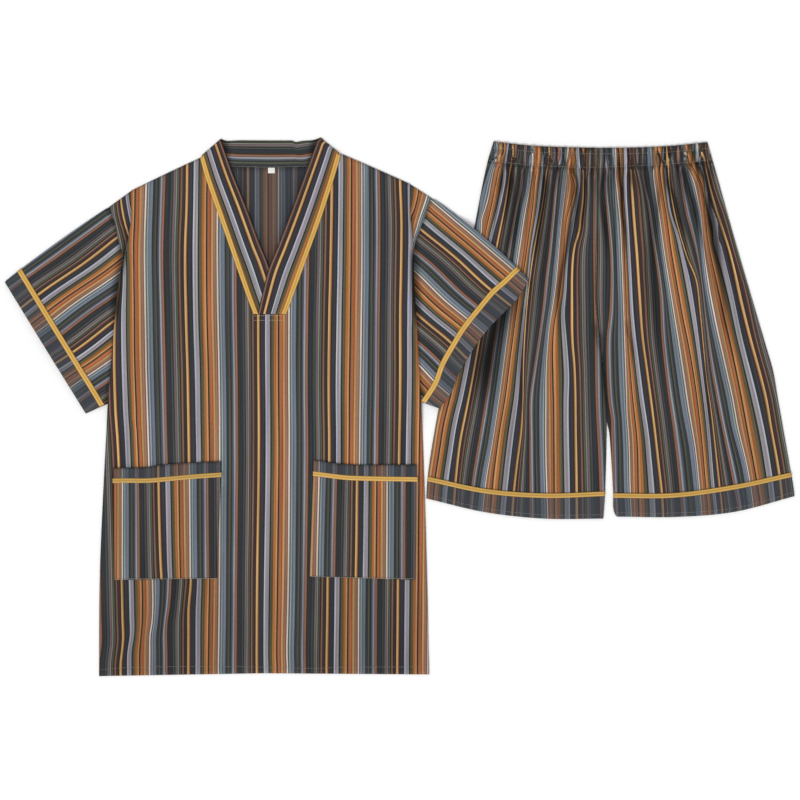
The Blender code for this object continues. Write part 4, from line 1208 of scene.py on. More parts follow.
# The stripes run beside the upper fold. The way in from it and the lengths of the waves are in
# pixels, and the two paces are those beside the body and at the cuff.
sleeveStripes = {
    "left": {"start": (107.8, 208.5), "inward": (0.585, 0.811), "turn": 1.0, "chart": 227.0,
             "pace": (1.073, 1.073), "wave": (0.7, 15.0, 24.0), "waveFrom": (4, 20)},
    "right": {"start": (432.0, 198.3), "inward": (-0.647, 0.7625), "turn": -1.0, "chart": 292.0,
              "pace": (-1.095, -1.04), "wave": (0.9, 14.0, 30.0), "waveFrom": (8, 40)},
    "long": 125.0,
}
sleeveCreases = {"left": table(
    Crease, ((100, 240), (40, 290), 5.0, 0.7), ((112, 290), (60, 330), 5.5, 0.6),
    ((113, 345), (78, 372), 5.0, 0.5), ((100, 262), (55, 300), 4.0, -0.5),
    ((119, 262), (108, 400), 4.0, -0.5),
), "right": table(
    Crease, ((432, 232), (492, 284), 4.0, 0.9), ((428, 250), (480, 300), 3.5, -0.7),
    ((424, 275), (470, 322), 4.0, 0.8), ((430, 320), (456, 342), 4.0, 0.7),
    ((424, 300), (462, 336), 3.5, -0.6), ((428, 355), (446, 372), 3.5, 0.5),
    ((450, 222), (500, 268), 4.0, -0.4), ((420, 262), (428, 396), 4.0, -0.5),
)}


def sleeveBed(side, across, up):
    # How high the sleeve's lower side lies, and how far outside the body the place is.
    edge = sideAt(topSides, up, side)
    outside = edge - across if side == "left" else across - edge
    beside = fade(outside, *sleeves["riseBeside"])
    below = fade(up, *sleeves["riseBelow"])
    rise = mix(sleeves["rest"], sleeves["rise"], beside * below)
    if side == "right":
        shift = topPlace - shortsPlace
        inside = across + shift.x - sideAt(legSides["left"], up + shift.y, "left")
        rise = max(rise, sleeves["shortsBed"] * ease(inside, *sleeves["bedFrom"]))
    return rise, outside


legSides = {"left": table(
    Side, (0, -252.0, 5.0), (29, -251.9, 7.0), (62, -249.8, 8.2), (139, -237.8, 9.7), (172, -231.5, 8.5),
    (213, -223.5, 5.3), (253, -215.6, 0.0), (323, -201.8, -6.2), (420, -182.7, -5.0), (520, -162.4, -3.6),
    (547, -154.3, -2.4),
), "right": table(
    Side, (0, 27.0, 283.0), (7, 21.6, 283.0), (37, 19.4, 281.8), (78, 17.2, 275.1), (110, 15.0, 269.5),
    (128, 13.2, 266.3), (139, 10.4, 264.4), (172, 8.8, 258.5), (213, 5.6, 251.4), (253, 0.4, 240.0),
    (323, -5.8, 219.5), (420, -4.6, 191.4), (520, -3.2, 163.4), (547, -2.0, 155.6),
)}


def sleevePlace(side, part, share):
    # A place in plan: part of the way from the upper fold to the underarm, share to the cuff.
    lines = sleeveLines[side]
    at = [number / (len(lines) - 1) for number in range(len(lines))]
    arm, armUp, cuff, cuffUp = (smooth(list(zip(at, values)), part) for values in zip(*lines))
    start = Vector((arm, armUp))
    end = Vector((cuff, cuffUp))
    sideways = math.copysign(start.y - end.y, end.x)
    outward = Vector((sideways, abs(end.x - start.x))).normalized()
    bow = sleeves["bow"][side] * (1.0 - part) ** 2
    off = outward * bow * math.sqrt(max(0.0, math.sin(math.pi * within(share))))
    return start.lerp(end, share) + off, (end - start).length


def sleeveChart(side, plan):
    stripes = sleeveStripes[side]
    inward = Vector(stripes["inward"])
    away = Vector(toPixel(topPlace, plan.x, plan.y)) - Vector(stripes["start"])
    off = away.dot(inward)
    down = away.dot(Vector((-inward.y, inward.x)) * stripes["turn"])
    high, long, deep = stripes["wave"]
    wave = high * math.sin(down / long + off / deep) * ease(off, *stripes["waveFrom"])
    return stripes["chart"] + mix(*stripes["pace"], within(down / sleeveStripes["long"])) * off + wave


def sleeveTop(side, plan, part):
    # The heights of the sleeve's lower and upper side.
    rise, outside = sleeveBed(side, plan.x, plan.y)
    puff = sleeves["puff"] * math.sin(math.pi * part) * ease(outside, *sleeves["puffFrom"])
    soft = swell(plan.x, plan.y, sleeves["swell"]) * ease(outside, *sleeves["swellFrom"])
    folds = creased(sleeveCreases[side], *toPixel(topPlace, plan.x, plan.y))
    return rise, rise + 2.0 * cloth + gap + puff + soft + folds


def sleeveShade(side, plan):
    underarm = sleeves["underarmShare"] * fade(plan.y, *sleeves["underarm"])
    deep = max(band(plan.y, *sleeves["armpit"]), underarm)
    reach = mix(*sleeves["seamReach"], deep)
    outside = sleeveBed(side, plan.x, plan.y)[1]
    return mix(*sleeves["seamShade"], deep) * fade(outside, sleeves["seamFrom"], reach)


def sleeveSpots(side):
    over = []
    under = []
    count = sleeves["acrossCount"]
    steps = sleeves["alongCount"]
    tuck = sleeves["tuck"]
    foldWide = abs(sleeveLines[side][0].armUp - sleeveLines[side][-1].armUp)
    for number in range(count + 1):
        part = (1.0 - math.cos(math.pi * number / count)) / 2.0
        long = sleevePlace(side, part, 0.0)[1]
        overLine = []
        underLine = []
        for share in [-tuck / long] + [step / steps for step in range(steps + 1)]:
            plan = sleevePlace(side, part, share)[0]
            along = share * long
            rise, top = sleeveTop(side, plan, part)
            top -= sleeves["tuckFall"] * fade(along, -tuck, sleeves["tuckEnds"])
            middle = mix(rise, top, sleeves["foldHigh"])
            off = min(part, 1.0 - part) * mix(foldWide, sleeves["cuffWide"], within(share))
            full = rounded(off, sleeves["foldRound"])
            turned = 1.0 if (1.0 - share) * long < smooth(sleeves["hem"][side], part) else 0.0
            top += sleeves["hemExtra"] * turned
            chart = sleeveChart(side, plan)
            foldChart = sleeveChart(side, sleevePlace(side, 0.0, share)[0])
            overLine.append(Spot(plan.x, plan.y, mix(middle, top, full), chart * pixel, along,
                                 turned, sleeveShade(side, plan)))
            underLine.append(Spot(plan.x, plan.y, mix(middle, rise, full),
                                  (2.0 * foldChart - chart) * pixel, along, turned, 0.0))
        over.append(overLine)
        under.append(underLine)
    ring = over + under[::-1]
    return ring[::-1] if side == "left" else ring


for side in ("left", "right"):
    sleeve = layCloth("sleeve." + side, sleeveSpots(side), topPlace, bothSides, "sleeve_" + side,
                      wall=0.7, joined=True)
    route = []
    for number in range(sleeves["tapeSteps"] + 1):
        part = number / sleeves["tapeSteps"] * sleeves["tapeEnd"]
        long = sleevePlace(side, part, 0.0)[1]
        share = 1.0 - smooth(sleeves["hem"][side], part) / long
        plan = sleevePlace(side, part, share)[0]
        inner = sleevePlace(side, part, share - tapeShape["wide"] / 2.0 / long)[0]
        off = min(part, 1.0 - part) * sleeves["cuffWide"]
        height = sleeveTop(side, plan, part)[1] + sleeves["tapeRise"]
        height -= sleeves["tapeFall"] * fade(off, 0.0, sleeves["tapeRound"])
        route.append((Vector((plan.x, plan.y, height)), (inner - plan).normalized().to_3d(),
                      sleeves["tapeTilt"]))
    tape = layTape("sleeveTape." + side, route[::-1] if side == "right" else route, topPlace,
                   "sleeve_tape_" + side)
    print("sleeve", side)


# The collar: a strip folded double round the neck, its right end crossed over its left.
Station = namedtuple("Station", "seam seamUp free freeUp seamHigh midHigh freeHigh")
collarStations = {
    "left": table(
        Station, (-11.7, 524.1, 28.4, 524.1, 2.6, 2.6, 2.6), (-23.2, 555.3, 16.4, 563.3, 2.6, 2.6, 2.6),
        (-34.2, 586.6, 4.8, 600.0, 2.6, 2.6, 2.6), (-43.2, 612.4, -6.4, 627.1, 2.6, 2.8, 2.6),
        (-62.2, 667.3, -25.7, 679.3, 2.6, 2.9, 2.7), (-80.0, 718.2, -45.7, 729.3, 2.8, 3.1, 2.9),
        (-89.8, 751.7, -61.8, 774.3, 3.0, 3.0, 3.0),
    ),
    "back": tuple(Station(*plan, 0.95, 0.95, 0.95) for plan in (
        (-90.2, 753.3, -62.4, 778.2), (-72.5, 745.4, -53.7, 775.4), (-48.0, 739.4, -34.8, 776.0),
        (-20.3, 738.4, -13.0, 775.9), (7.3, 738.0, 8.7, 775.8), (37.7, 738.4, 33.4, 775.8),
        (45.8, 738.7, 40.4, 775.7), (52.4, 738.9, 46.2, 773.7), (62.8, 739.4, 55.1, 775.2),
        (89.0, 748.4, 71.0, 776.5), (108.4, 757.3, 82.2, 780.3),
    )),
    "right": table(
        Station, (108.3, 755.8, 77.1, 775.0, 3.0, 3.0, 3.0), (97.9, 720.2, 61.3, 732.1, 2.8, 3.1, 2.9),
        (79.4, 663.3, 40.5, 675.7, 2.6, 3.0, 3.2), (61.2, 612.4, 21.2, 625.0, 2.8, 3.6, 4.3),
        (48.8, 577.9, 7.0, 589.9, 3.4, 4.3, 4.4), (37.0, 545.3, -1.5, 557.5, 4.2, 4.4, 4.4),
        (28.9, 524.1, -9.2, 524.1, 4.3, 4.3, 4.3),
    ),
}
collarShape = {
    "thick": 1.4, "acrossCount": 18, "stepsBetween": 12, "foldSteps": 6, "edgeRound": 1.6,
    "swell": (0.18, 26.0, 9.2), "swellWide": 40.0,
    "seamChart": {"left": 277.5, "back": 279.0, "right": 279.5},
    "freeChart": 252.0, "innerChart": 226.0,
    "rimShade": 0.30, "rimReach": (0.0, 2.4),
    "topShade": 0.42, "topReach": (0.5, 4.0),
    "endShade": 0.72, "endReach": (0.5, 8.0),
    "endLean": (0.25, 150.0),     # the ends' shade moves in below this row of pixels
    "tapeRise": 0.5, "tapeLow": 0.4, "tapeTilt": 0.6, "tapeTiltMost": 1.2,
}


def drawnOut(stations, steps):
    # Stations with more between them on smooth curves.
    at = list(range(len(stations)))
    count = (len(stations) - 1) * steps
    columns = [list(zip(at, values)) for values in zip(*stations)]
    return [Station(*(smooth(column, number / steps) for column in columns))
            for number in range(count + 1)]


def foldedOver(first, second):
    # A half turn from one stretch of the collar to the next, away from the neck.
    steps = collarShape["foldSteps"]
    half = (first.midHigh - second.midHigh) / 2.0
    turned = []
    for number in range(1, steps):
        angle = math.pi * number / steps
        row = mixRows(first, second, number / steps)
        way = (Vector((row.free, row.freeUp)) - Vector((row.seam, row.seamUp))).normalized()
        out = Vector((-way.y, way.x)) if first.seam < first.free else Vector((way.y, -way.x))
        out = out * abs(half) * math.sin(angle)
        high = (first.midHigh + second.midHigh) / 2.0 + half * math.cos(angle)
        turned.append(Station(row.seam + out.x, row.seamUp + out.y, row.free + out.x, row.freeUp + out.y,
                              high, high, high))
    return turned


leftRun, backRun, rightRun = (drawnOut(collarStations[side], collarShape["stepsBetween"])
                              for side in ("left", "back", "right"))
overLeft = foldedOver(leftRun[-1], backRun[0])
overRight = foldedOver(rightRun[0], backRun[-1])[::-1]
collarRun = leftRun + overLeft + backRun + overRight + rightRun
seamCharts = ([collarShape["seamChart"]["left"]] * len(leftRun + overLeft)
              + [collarShape["seamChart"]["back"]] * len(backRun)
              + [collarShape["seamChart"]["right"]] * len(overRight + rightRun))


def collarMiddle(station, part):
    high = smooth([(0.0, station.seamHigh), (0.5, station.midHigh), (1.0, station.freeHigh)], part)
    return Vector((mix(station.seam, station.free, part), mix(station.seamUp, station.freeUp, part), high))


def collarShade(index, part, wide, place):
    # Along its free edge the band rolls out of the light; its back is in the shadow of the sides.
    free = (1.0 - part) * wide
    first = len(leftRun + overLeft)
    if not first <= index < first + len(backRun):
        return collarShape["rimShade"] * fade(free, *collarShape["rimReach"])
    column, row = toPixel(topPlace, place.x, place.y)
    lean, leanRow = collarShape["endLean"]
    fromEnd = min(column - smooth(neckShade["left"], row), smooth(neckShade["right"], row) - column)
    fromEnd += lean * (row - leanRow)
    return allShades(collarShape["topShade"] * fade(free, *collarShape["topReach"]),
                     collarShape["endShade"] * fade(fromEnd, *collarShape["endReach"]))


outerFace = []
innerFace = []
half = collarShape["thick"] / 2.0
runLength = 0.0
runLengths = []
for before, station in zip(collarRun[:1] + collarRun, collarRun):
    runLength += (collarMiddle(station, 0.5) - collarMiddle(before, 0.5)).length
    runLengths.append(runLength)
for number in range(collarShape["acrossCount"] + 1):
    part = (1.0 - math.cos(math.pi * number / collarShape["acrossCount"])) / 2.0
    outerLine = []
    innerLine = []
    for index, station in enumerate(collarRun):
        before = collarRun[max(0, index - 1)]
        after = collarRun[min(len(collarRun) - 1, index + 1)]
        middle = collarMiddle(station, part)
        path = collarMiddle(after, part) - collarMiddle(before, part)
        across = collarMiddle(station, 1.0) - collarMiddle(station, 0.0)
        facing = across.cross(path).normalized()
        full = rounded(min(part, 1.0 - part) * across.length, collarShape["edgeRound"])
        soft = swell(runLengths[index], part * collarShape["swellWide"], collarShape["swell"])
        shade = collarShade(index, part, across.length, middle)
        for line, face, seamChart in (
                (outerLine, middle + facing * (half * full + soft), seamCharts[index]),
                (innerLine, middle - facing * half * full, collarShape["innerChart"])):
            chart = mix(seamChart, collarShape["freeChart"], part) * pixel
            line.append(Spot(*face, chart, runLengths[index], 0.0, shade))
    outerFace.append(outerLine)
    innerFace.append(innerLine)
collar = layCloth("collar", (outerFace + innerFace[::-1])[::-1], topPlace, [striped], "collar_band",
                  wall=0.0, joined=True, capped=True)

for side, run in (("left", leftRun), ("right", rightRun)):
    route = []
    for station in run:
        seam = Vector((station.seam, station.seamUp, 0.0))
        inward = (Vector((station.free, station.freeUp, 0.0)) - seam).normalized()
        outer = seam - inward * tapeShape["wide"] / 2.0
        high = max(station.seamHigh + half, frontTop(seam.x, seam.y)) + collarShape["tapeRise"]
        drop = high - frontTop(outer.x, outer.y) - collarShape["tapeLow"]
        tilt = within(drop * collarShape["tapeTilt"], high=collarShape["tapeTiltMost"])
        route.append((Vector((seam.x, seam.y, high)), inward, tilt))
    tape = layTape("collarTape." + side, route, topPlace, "collar_tape_" + side)
print("collar and its tapes")


# The shorts.
Level = namedtuple("Level", "first second third last")
legLevels = {
    "left": {
        "hem": Level(29.3, 9.3, 0.0, 0.0), "tape": Level(57.9, 40.0, 33.5, 36.3),
        "casing": Level(519.7, 513.6, 510.5, 509.5), "waist": Level(547.4, 541.6, 539.0, 538.0),
    },
    "right": {
        "hem": Level(2.9, 2.5, 9.9, 32.6), "tape": Level(33.6, 34.0, 45.7, 63.9),
        "casing": Level(509.5, 511.7, 515.0, 520.8), "waist": Level(537.8, 538.4, 540.9, 546.2),
    },
}
# Gathers from left to right: how wide and high each is and how far it reaches down.
Gather = namedtuple("Gather", "wide high reach")
legGathers = {"left": table(
    Gather, (8.0, 1.8, 120), (10.0, 3.0, 300), (9.0, 2.6, 200), (11.0, 3.4, 260), (10.0, 3.6, 330),
    (7.0, 2.2, 120), (8.0, 2.8, 180), (4.8, 1.8, 90), (5.0, 2.0, 110), (8.0, 3.2, 330), (6.0, 2.4, 140),
    (6.5, 3.0, 300), (6.0, 1.8, 100), (5.0, 1.6, 90), (6.5, 1.8, 160),
), "right": table(
    Gather, (7.5, 1.8, 160), (8.0, 3.0, 330), (7.0, 3.2, 300), (7.7, 2.8, 200), (7.3, 2.4, 140),
    (7.0, 2.0, 110), (8.0, 3.0, 280), (7.0, 2.4, 150), (6.4, 2.4, 170), (7.0, 3.0, 320), (6.6, 2.4, 130),
    (7.5, 3.2, 300), (9.5, 3.2, 340), (9.6, 3.4, 330), (8.0, 1.8, 140),
)}
Fold = namedtuple("Fold", "share half high head foot")
legFolds = {"left": table(
    Fold, (0.24, 0.050, 3.0, 20, 330), (0.52, 0.045, 4.0, 20, 400), (0.83, 0.040, 3.4, 20, 340),
), "right": table(
    Fold, (0.17, 0.040, 3.2, 10, 230), (0.42, 0.045, 2.4, 20, 320), (0.66, 0.035, 3.4, 40, 430),
    (0.76, 0.040, 4.0, 20, 350), (0.90, 0.035, 2.6, 20, 300),
)}
# Painted shade of the dark hollows between folds, and the painted shadow that the right sleeve's
# cuff casts on the left leg, by the photo's pixels from the waist down.
Hollow = namedtuple("Hollow", "half dark pixels")
hollowShadeRoutes = {"left": table(
    Hollow, (1.2, 0.50, ((502.8, 164), (502.6, 170), (501.5, 186), (500.8, 198))),
    (1.4, 0.45, ((510.8, 160), (510.6, 167), (509.3, 185), (505.7, 211), (501.5, 232))),
    (4.5, 0.45, ((513, 168), (512.9, 185), (514.4, 203), (512, 229), (507.5, 250), (503, 275))),
    (2.2, 0.64, ((544.6, 166), (544.1, 183), (541.4, 207), (538.8, 229), (536.1, 252), (532.5, 280))),
    (3.2, 0.32, ((550.4, 176), (548.6, 220), (545.9, 238), (541.8, 268), (536.7, 306), (531.6, 340))),
    (1.2, 0.55, ((571.6, 160), (572.7, 170.4), (575.4, 177.5), (577.6, 188))),
    (2.3, 0.58, ((577.5, 176), (577.1, 190), (575.4, 211), (570, 234), (566.4, 252), (562.2, 270),
        (559.7, 285), (558.2, 306), (559.2, 326), (561.2, 356))),
    (1.6, 0.58, ((585.8, 168), (585.2, 185), (584.3, 202), (582.5, 220), (580, 244))),
    (1.6, 0.38, ((523.5, 300), (521.4, 327), (520.4, 362), (521.4, 392), (522.6, 436))),
    # painted shadow of the right sleeve's cuff
    (10.0, 0.75, ((515, 272), (510, 290), (504, 312), (495, 333), (489, 350), (485, 372), (480, 424))),
    (2.4, 0.50, ((596, 316), (596.9, 333), (601, 352), (603, 372), (604.5, 392), (605.5, 420))),
), "right": table(
    Hollow,
    (2.2, 0.52, ((603.6, 160), (603.4, 176), (601.2, 194), (601.6, 204), (603.4, 216), (606, 234),
        (607.9, 268))),
    (1.7, 0.68, ((618.2, 152), (618.6, 167), (619.5, 180), (621.3, 190), (621.7, 202), (622.6, 216),
        (624.4, 229), (625.7, 247), (627, 266))),
    (1.1, 0.42, ((629.6, 158), (630, 170), (630.6, 176), (632, 184), (633, 194))),
    (4.5, 0.45, ((643.5, 156), (644.5, 167), (647.1, 185), (650.7, 202), (652.5, 220), (652, 238),
        (651.6, 260), (653.3, 294), (657, 331), (659.4, 355), (660.6, 392))),
    (1.8, 0.32, ((659.4, 182), (658.8, 197), (657.4, 211), (657, 229), (657.5, 248))),
    (2.6, 0.58, ((667.5, 168), (668.6, 185), (673, 195), (677.5, 210), (680.2, 220), (684.6, 234),
        (688.2, 254))),
    (3.2, 0.52, ((680.5, 154), (682, 167), (684.6, 177), (688.2, 190), (692.7, 202), (695.4, 216),
        (697.1, 229), (698, 250))),
    (2.2, 0.66, ((697.5, 152), (699.8, 165), (704.3, 177), (707, 190), (708.8, 202), (710, 216),
        (712, 242))),
    (2.0, 0.58, ((706.5, 190), (709.5, 206), (712.3, 216), (714, 226), (715.5, 236), (717, 246),
        (719, 257), (721, 270), (724, 284))),
    (3.2, 0.46, ((709.5, 210), (711.4, 225), (714.1, 247), (718.6, 270), (722.4, 294), (724.8, 318),
        (730.9, 343), (735.5, 374))),
    (1.4, 0.45, ((626.5, 314), (627.9, 331), (631.5, 347), (633, 372))),
    (3.0, 0.50, ((600.5, 326), (601.2, 347), (603.6, 379), (606, 415), (608, 444))),
    (1.1, 0.32, ((705.5, 356), (706.6, 379), (709, 415), (711, 444))),
)}
shorts = {
    "rest": 1.5, "columns": 168, "rowHigh": 3.3, "usualUps": (0.0, 35.0, 512.0, 540.0),
    "backColumns": 40, "backRows": 70, "backSink": 0.1,
    "hemExtra": 0.7, "edgeRoll": 4.0, "swell": (0.3, 60.0, 4.4), "swellFrom": (0, 20),
    "seamMargin": 0.012,
    "underSleeve": 0.14, "sleevePress": (14, 44),
    "gatherFade": 0.25, "foldFade": 0.55, "foldStarts": 80, "foldFromEdge": 0.06,
    "puckerHigh": 0.55, "puckerHalf": 0.17, "puckerBand": (-6, 2),
    "seamDeep": 0.6, "seamHalf": 2.4,
    "pleatWide": 5.2,             # the casing's pleats, in pixels
    "pleatWander": (1.6, 9.0, 6.1),
    "sway": 3.0,                  # how much of the stripes a pleat hides, in pixels
    "swayBand": (-16, 1),
    # painted shade of the hollows and the cuff's shadow; hollowDeep also sinks the surface there
    "hollowWide": 1.3,            # the hollows' width and darkness against their own numbers
    "hollowDark": 1.25,
    "hollowMost": 0.85,
    "hollowHead": 14.0, "hollowTail": 0.6,
    "hollowDeep": 2.4,
    "tapeShade": 0.16,
    "tapeSteps": 96, "tapeRise": 0.45, "tapeFall": 0.9, "tapeRound": 3.0,
}
# Painted light and shade of the legs' folds: how light the ridges are, and how dark the hollows,
# pleats, seam and creases.
legPaintedLight = {
    # painted light on the ridges, stronger near the waist; lower down they are darker
    "crest": (1.05, 0.93),        # how light the ridges are, above and below
    "crestFades": (90, 340),
    # painted light on the crests of the casing's pleats
    "casingCrest": 1.15,
    "casingBand": (-4, 2),
    # painted shade in the hollows between gathers
    "gather": 0.66, "gatherFade": 0.3, "gatherInCasing": 0.4,
    # painted shade where the casing's pleats meet, and in random crinkles
    "pucker": 0.84,
    "crinkle": (7.0, 5.9, 0.3), "crinkleShare": 0.5,
    # painted shade along the casing's seam
    "seam": 0.34, "seamHalf": 2.6, "seamBelow": 2.0,
    # painted shade of short creases below the casing
    "stroke": 0.62,               # short creases that hang from the casing
    "strokeNoise": (7.0, 3.3, 0.26),
    "strokeLong": 32.0,
}


def levelUp(level, share):
    return smooth(list(zip((0.0, 1.0 / 3.0, 2.0 / 3.0, 1.0), level)), share)


def legEdges(side, up):
    return [sideAt(legSides[side], up, edge) for edge in ("left", "right")]


def pressed(across, up):
    # The right sleeve presses what lies below it flat.
    shift = shortsPlace - topPlace
    place = Vector((across + shift.x, up + shift.y))
    lines = sleeveLines["right"]
    head = Vector((lines[0].cuff, lines[0].cuffUp))
    foot = Vector((lines[-1].cuff, lines[-1].cuffUp))
    fold = Vector((lines[0].arm, lines[0].armUp))
    cuffWay = (foot - head).normalized()
    beyondCuff = Vector((-cuffWay.y, cuffWay.x)).dot(place - head)
    foldWay = (head - fold).normalized()
    aboveFold = Vector((-foldWay.y, foldWay.x)).dot(place - head) - sleeves["bow"]["right"]
    clear = max(beyondCuff, aboveFold, foot.y - place.y)
    return mix(shorts["underSleeve"], 1.0, ease(clear, *shorts["sleevePress"]))


def paintedHollowShade(side, across, up):
    # How much painted shade the hollows, and the cuff's painted shadow, put on a place.
    column, row = toPixel(shortsPlace, across, up)
    light = 1.0
    for hollow in hollowShadeRoutes[side]:
        head = hollow.pixels[0][1]
        foot = hollow.pixels[-1][1]
        if head < row < foot:
            off = (column - columnAt(hollow.pixels, row)) / (hollow.half * shorts["hollowWide"])
            ends = band(row, head, head + shorts["hollowHead"],
                        mix(head, foot, shorts["hollowTail"]), foot)
            dark = min(shorts["hollowMost"], hollow.dark * shorts["hollowDark"])
            light *= 1.0 - dark * math.exp(-off * off) * ends
    return 1.0 - light


def pleatAt(column, row):
    # Where in its pleat of the casing a pixel lies, from -0.5 to 0.5.
    turn = swell(column * 1.2, row * 0.2, shorts["pleatWander"]) + column / shorts["pleatWide"]
    return turn - math.floor(turn) - 0.5


def casingSway(column, row, up, casingUp):
    # Each pleat of the casing hides a little of the stripes, and lets them go below.
    begins, full = shorts["swayBand"]
    return -shorts["sway"] * pleatAt(column, row) * ease(up, casingUp + begins, casingUp + full)


def pucker(across, up):
    # The elastic holds the casing in fine pleats, low and dark where two meet.
    fromEdge = 0.5 - abs(pleatAt(*toPixel(shortsPlace, across, up)))
    return 1.0 - math.exp(-(fromEdge / shorts["puckerHalf"]) ** 2)


def gatherAt(side, share):
    # The gather that a share of the leg's width lies in, and how far through it.
    gathers = legGathers[side]
    at = share * sum(gather.wide for gather in gathers)
    start = 0.0
    for gather in gathers:
        part = (at - start) / gather.wide
        if 0.0 < part <= 1.0:
            return gather, part
        start += gather.wide
    return None, 0.0


def legShade(side, share, across, up, waistUp, casingUp):
    # Painted light and shade: ridges and the casing's pleats are lighter; the hollows between gathers
    # are dark, most of all just below the casing, and so are the pleats' edges, the seam and creases.
    depth = waistUp - up
    gather, part = gatherAt(side, share)
    hollow = 0.0
    if gather:
        lasting = fade(depth, legPaintedLight["gatherFade"] * gather.reach, gather.reach)
        hollow = (1.0 - math.sin(math.pi * part)) ** 2 * lasting * gather.high / 3.0
    begins, full = legPaintedLight["casingBand"]
    casing = ease(up, casingUp + begins, casingUp + full)
    below = (up - casingUp + legPaintedLight["seamBelow"]) / legPaintedLight["seamHalf"]
    size, seed, full = legPaintedLight["crinkle"]
    crinkle = ease(wander(across * 1.6, up * 0.22, size, seed), 0.0, full)
    size, seed, full = legPaintedLight["strokeNoise"]
    stroke = ease(wander(across * 1.7, up * 0.13, size, seed), 0.0, full) * (1.0 - casing)
    stroke *= math.exp(-max(0.0, casingUp - up) / legPaintedLight["strokeLong"])
    pleat = pucker(across, up)
    dark = legPaintedLight["pucker"] * max(legPaintedLight["crinkleShare"] * crinkle, 1.0 - pleat)
    crest = mix(*legPaintedLight["crest"], ease(depth, *legPaintedLight["crestFades"]))
    light = 1.0 - legPaintedLight["gather"] * hollow * mix(1.0, legPaintedLight["gatherInCasing"], casing)
    light *= mix(crest, crest * legPaintedLight["casingCrest"] - dark, casing)
    light *= 1.0 - legPaintedLight["seam"] * math.exp(-below * below) * (1.0 - 0.5 * pleat)
    light *= 1.0 - legPaintedLight["stroke"] * stroke
    return 1.0 - light * (1.0 - paintedHollowShade(side, across, up))


def legRise(side, share, across, up, waistUp, casingUp):
    # How high the leg's gathers and folds stand there.
    depth = waistUp - up
    margin = shorts["seamMargin"]
    gather, part = gatherAt(side, (share - margin) / (1.0 - 2.0 * margin))
    high = 0.0
    if gather:
        lasting = fade(depth, shorts["gatherFade"] * gather.reach, gather.reach)
        high = gather.high * max(0.0, math.sin(math.pi * part)) ** 1.2 * lasting
    beside = ease(min(share, 1.0 - share), margin, shorts["foldFromEdge"])
    for fold in legFolds[side]:
        off = (share - fold.share) / fold.half
        fall = band(depth, fold.head, fold.head + shorts["foldStarts"],
                    shorts["foldFade"] * fold.foot, fold.foot)
        high += fold.high * math.exp(-off * off) * fall * beside
    begins, full = shorts["puckerBand"]
    casing = ease(up, casingUp + begins, casingUp + full) * (1.0 - 0.6 * ease(up, waistUp - 8, waistUp))
    high += shorts["puckerHigh"] * pucker(across, up) * casing
    fromSeam = (up - casingUp) / shorts["seamHalf"]
    high -= shorts["seamDeep"] * math.exp(-fromSeam * fromSeam)
    high -= shorts["hollowDeep"] * paintedHollowShade(side, across, up) * within(high)
    return high * pressed(across, up)


def legSpots(side, stripes):
    columns = shorts["columns"]
    usual = shorts["usualUps"]
    counts = [max(1, round((high - low) / shorts["rowHigh"])) for low, high in zip(usual, usual[1:])]
    spots = []
    for number in range(columns + 1):
        share = number / columns
        ends = [levelUp(legLevels[side][key], share) for key in ("hem", "tape", "casing", "waist")]
        hemUp, casingUp, waistUp = ends[0], ends[2], ends[3]
        places = [(mix(ends[stage], ends[stage + 1], part / count), stage)
                  for stage, count in enumerate(counts) for part in range(count)]
        line = []
        for up, stage in places + [(waistUp, 2)]:
            left, right = legEdges(side, up)
            across = mix(left, right, share)
            off = min(across - left, right - across, up - hemUp, waistUp - up)
            roll = 1.0 - rounded(off, shorts["edgeRoll"])
            rise = legRise(side, share, across, up, waistUp, casingUp)
            rise += shorts["hemExtra"] if stage == 0 else 0.0
            rise += swell(across, up, shorts["swell"]) * ease(off, *shorts["swellFrom"])
            height = shorts["rest"] + cloth + rise * (1.0 - 0.6 * roll) - 1.0 * roll
            column, row = toPixel(shortsPlace, across, up)
            chart = stripes.read(column + casingSway(column, row, up, casingUp), row) * pixel
            turned = 1.0 if stage == 0 else 0.0
            shade = legShade(side, share, across, up, waistUp, casingUp)
            line.append(Spot(across, up, height, chart, up, turned, shade))
        spots.append(line)
    return spots


def backLegSpots(side, stripes):
    columns = shorts["backColumns"]
    rows = shorts["backRows"]
    spots = []
    for number in range(columns + 1):
        share = number / columns
        hemUp, waistUp = (levelUp(legLevels[side][key], share) for key in ("hem", "waist"))
        line = []
        for step in range(rows + 1):
            up = mix(hemUp, waistUp, step / rows)
            across = mix(*legEdges(side, up), share)
            chart = stripes.read(*toPixel(shortsPlace, across, up)) * pixel
            line.append(Spot(across, up, cloth - shorts["backSink"], chart, up, 1.0, 0.0))
        spots.append(line)
    return spots


def legTapeRoute(side):
    level = legLevels[side]["tape"]
    steps = shorts["tapeSteps"]
    route = []
    for number in range(steps + 1):
        share = number / steps
        up = levelUp(level, share)
        left, right = legEdges(side, up)
        ahead = min(1.0, share + 0.01)
        behind = max(0.0, share - 0.01)
        way = Vector(((ahead - behind) * (right - left), levelUp(level, ahead) - levelUp(level, behind)))
        off = min(share, 1.0 - share) * (right - left)
        height = shorts["rest"] + cloth + shorts["hemExtra"] + shorts["tapeRise"]
        height -= shorts["tapeFall"] * fade(off, 0.0, shorts["tapeRound"])
        route.append((Vector((mix(left, right, share), up, height)),
                      Vector((-way.y, way.x, 0.0)).normalized(), 0.0))
    return route[::-1]


for side in ("left", "right"):
    stripes = StripeMap(legThreads[side], -1.0)
    leg = layCloth("shortsFront." + side, legSpots(side, stripes), shortsPlace, bothSides,
                   "shorts_front_" + side)
    backPiece = layCloth("shortsBack." + side, backLegSpots(side, stripes), shortsPlace, bothSides,
                         "shorts_back_" + side, wall=1.0)
    tape = layTape("shortsTape." + side, legTapeRoute(side), shortsPlace, "shorts_tape_" + side,
                   shade=shorts["tapeShade"])
    print("shorts", side)


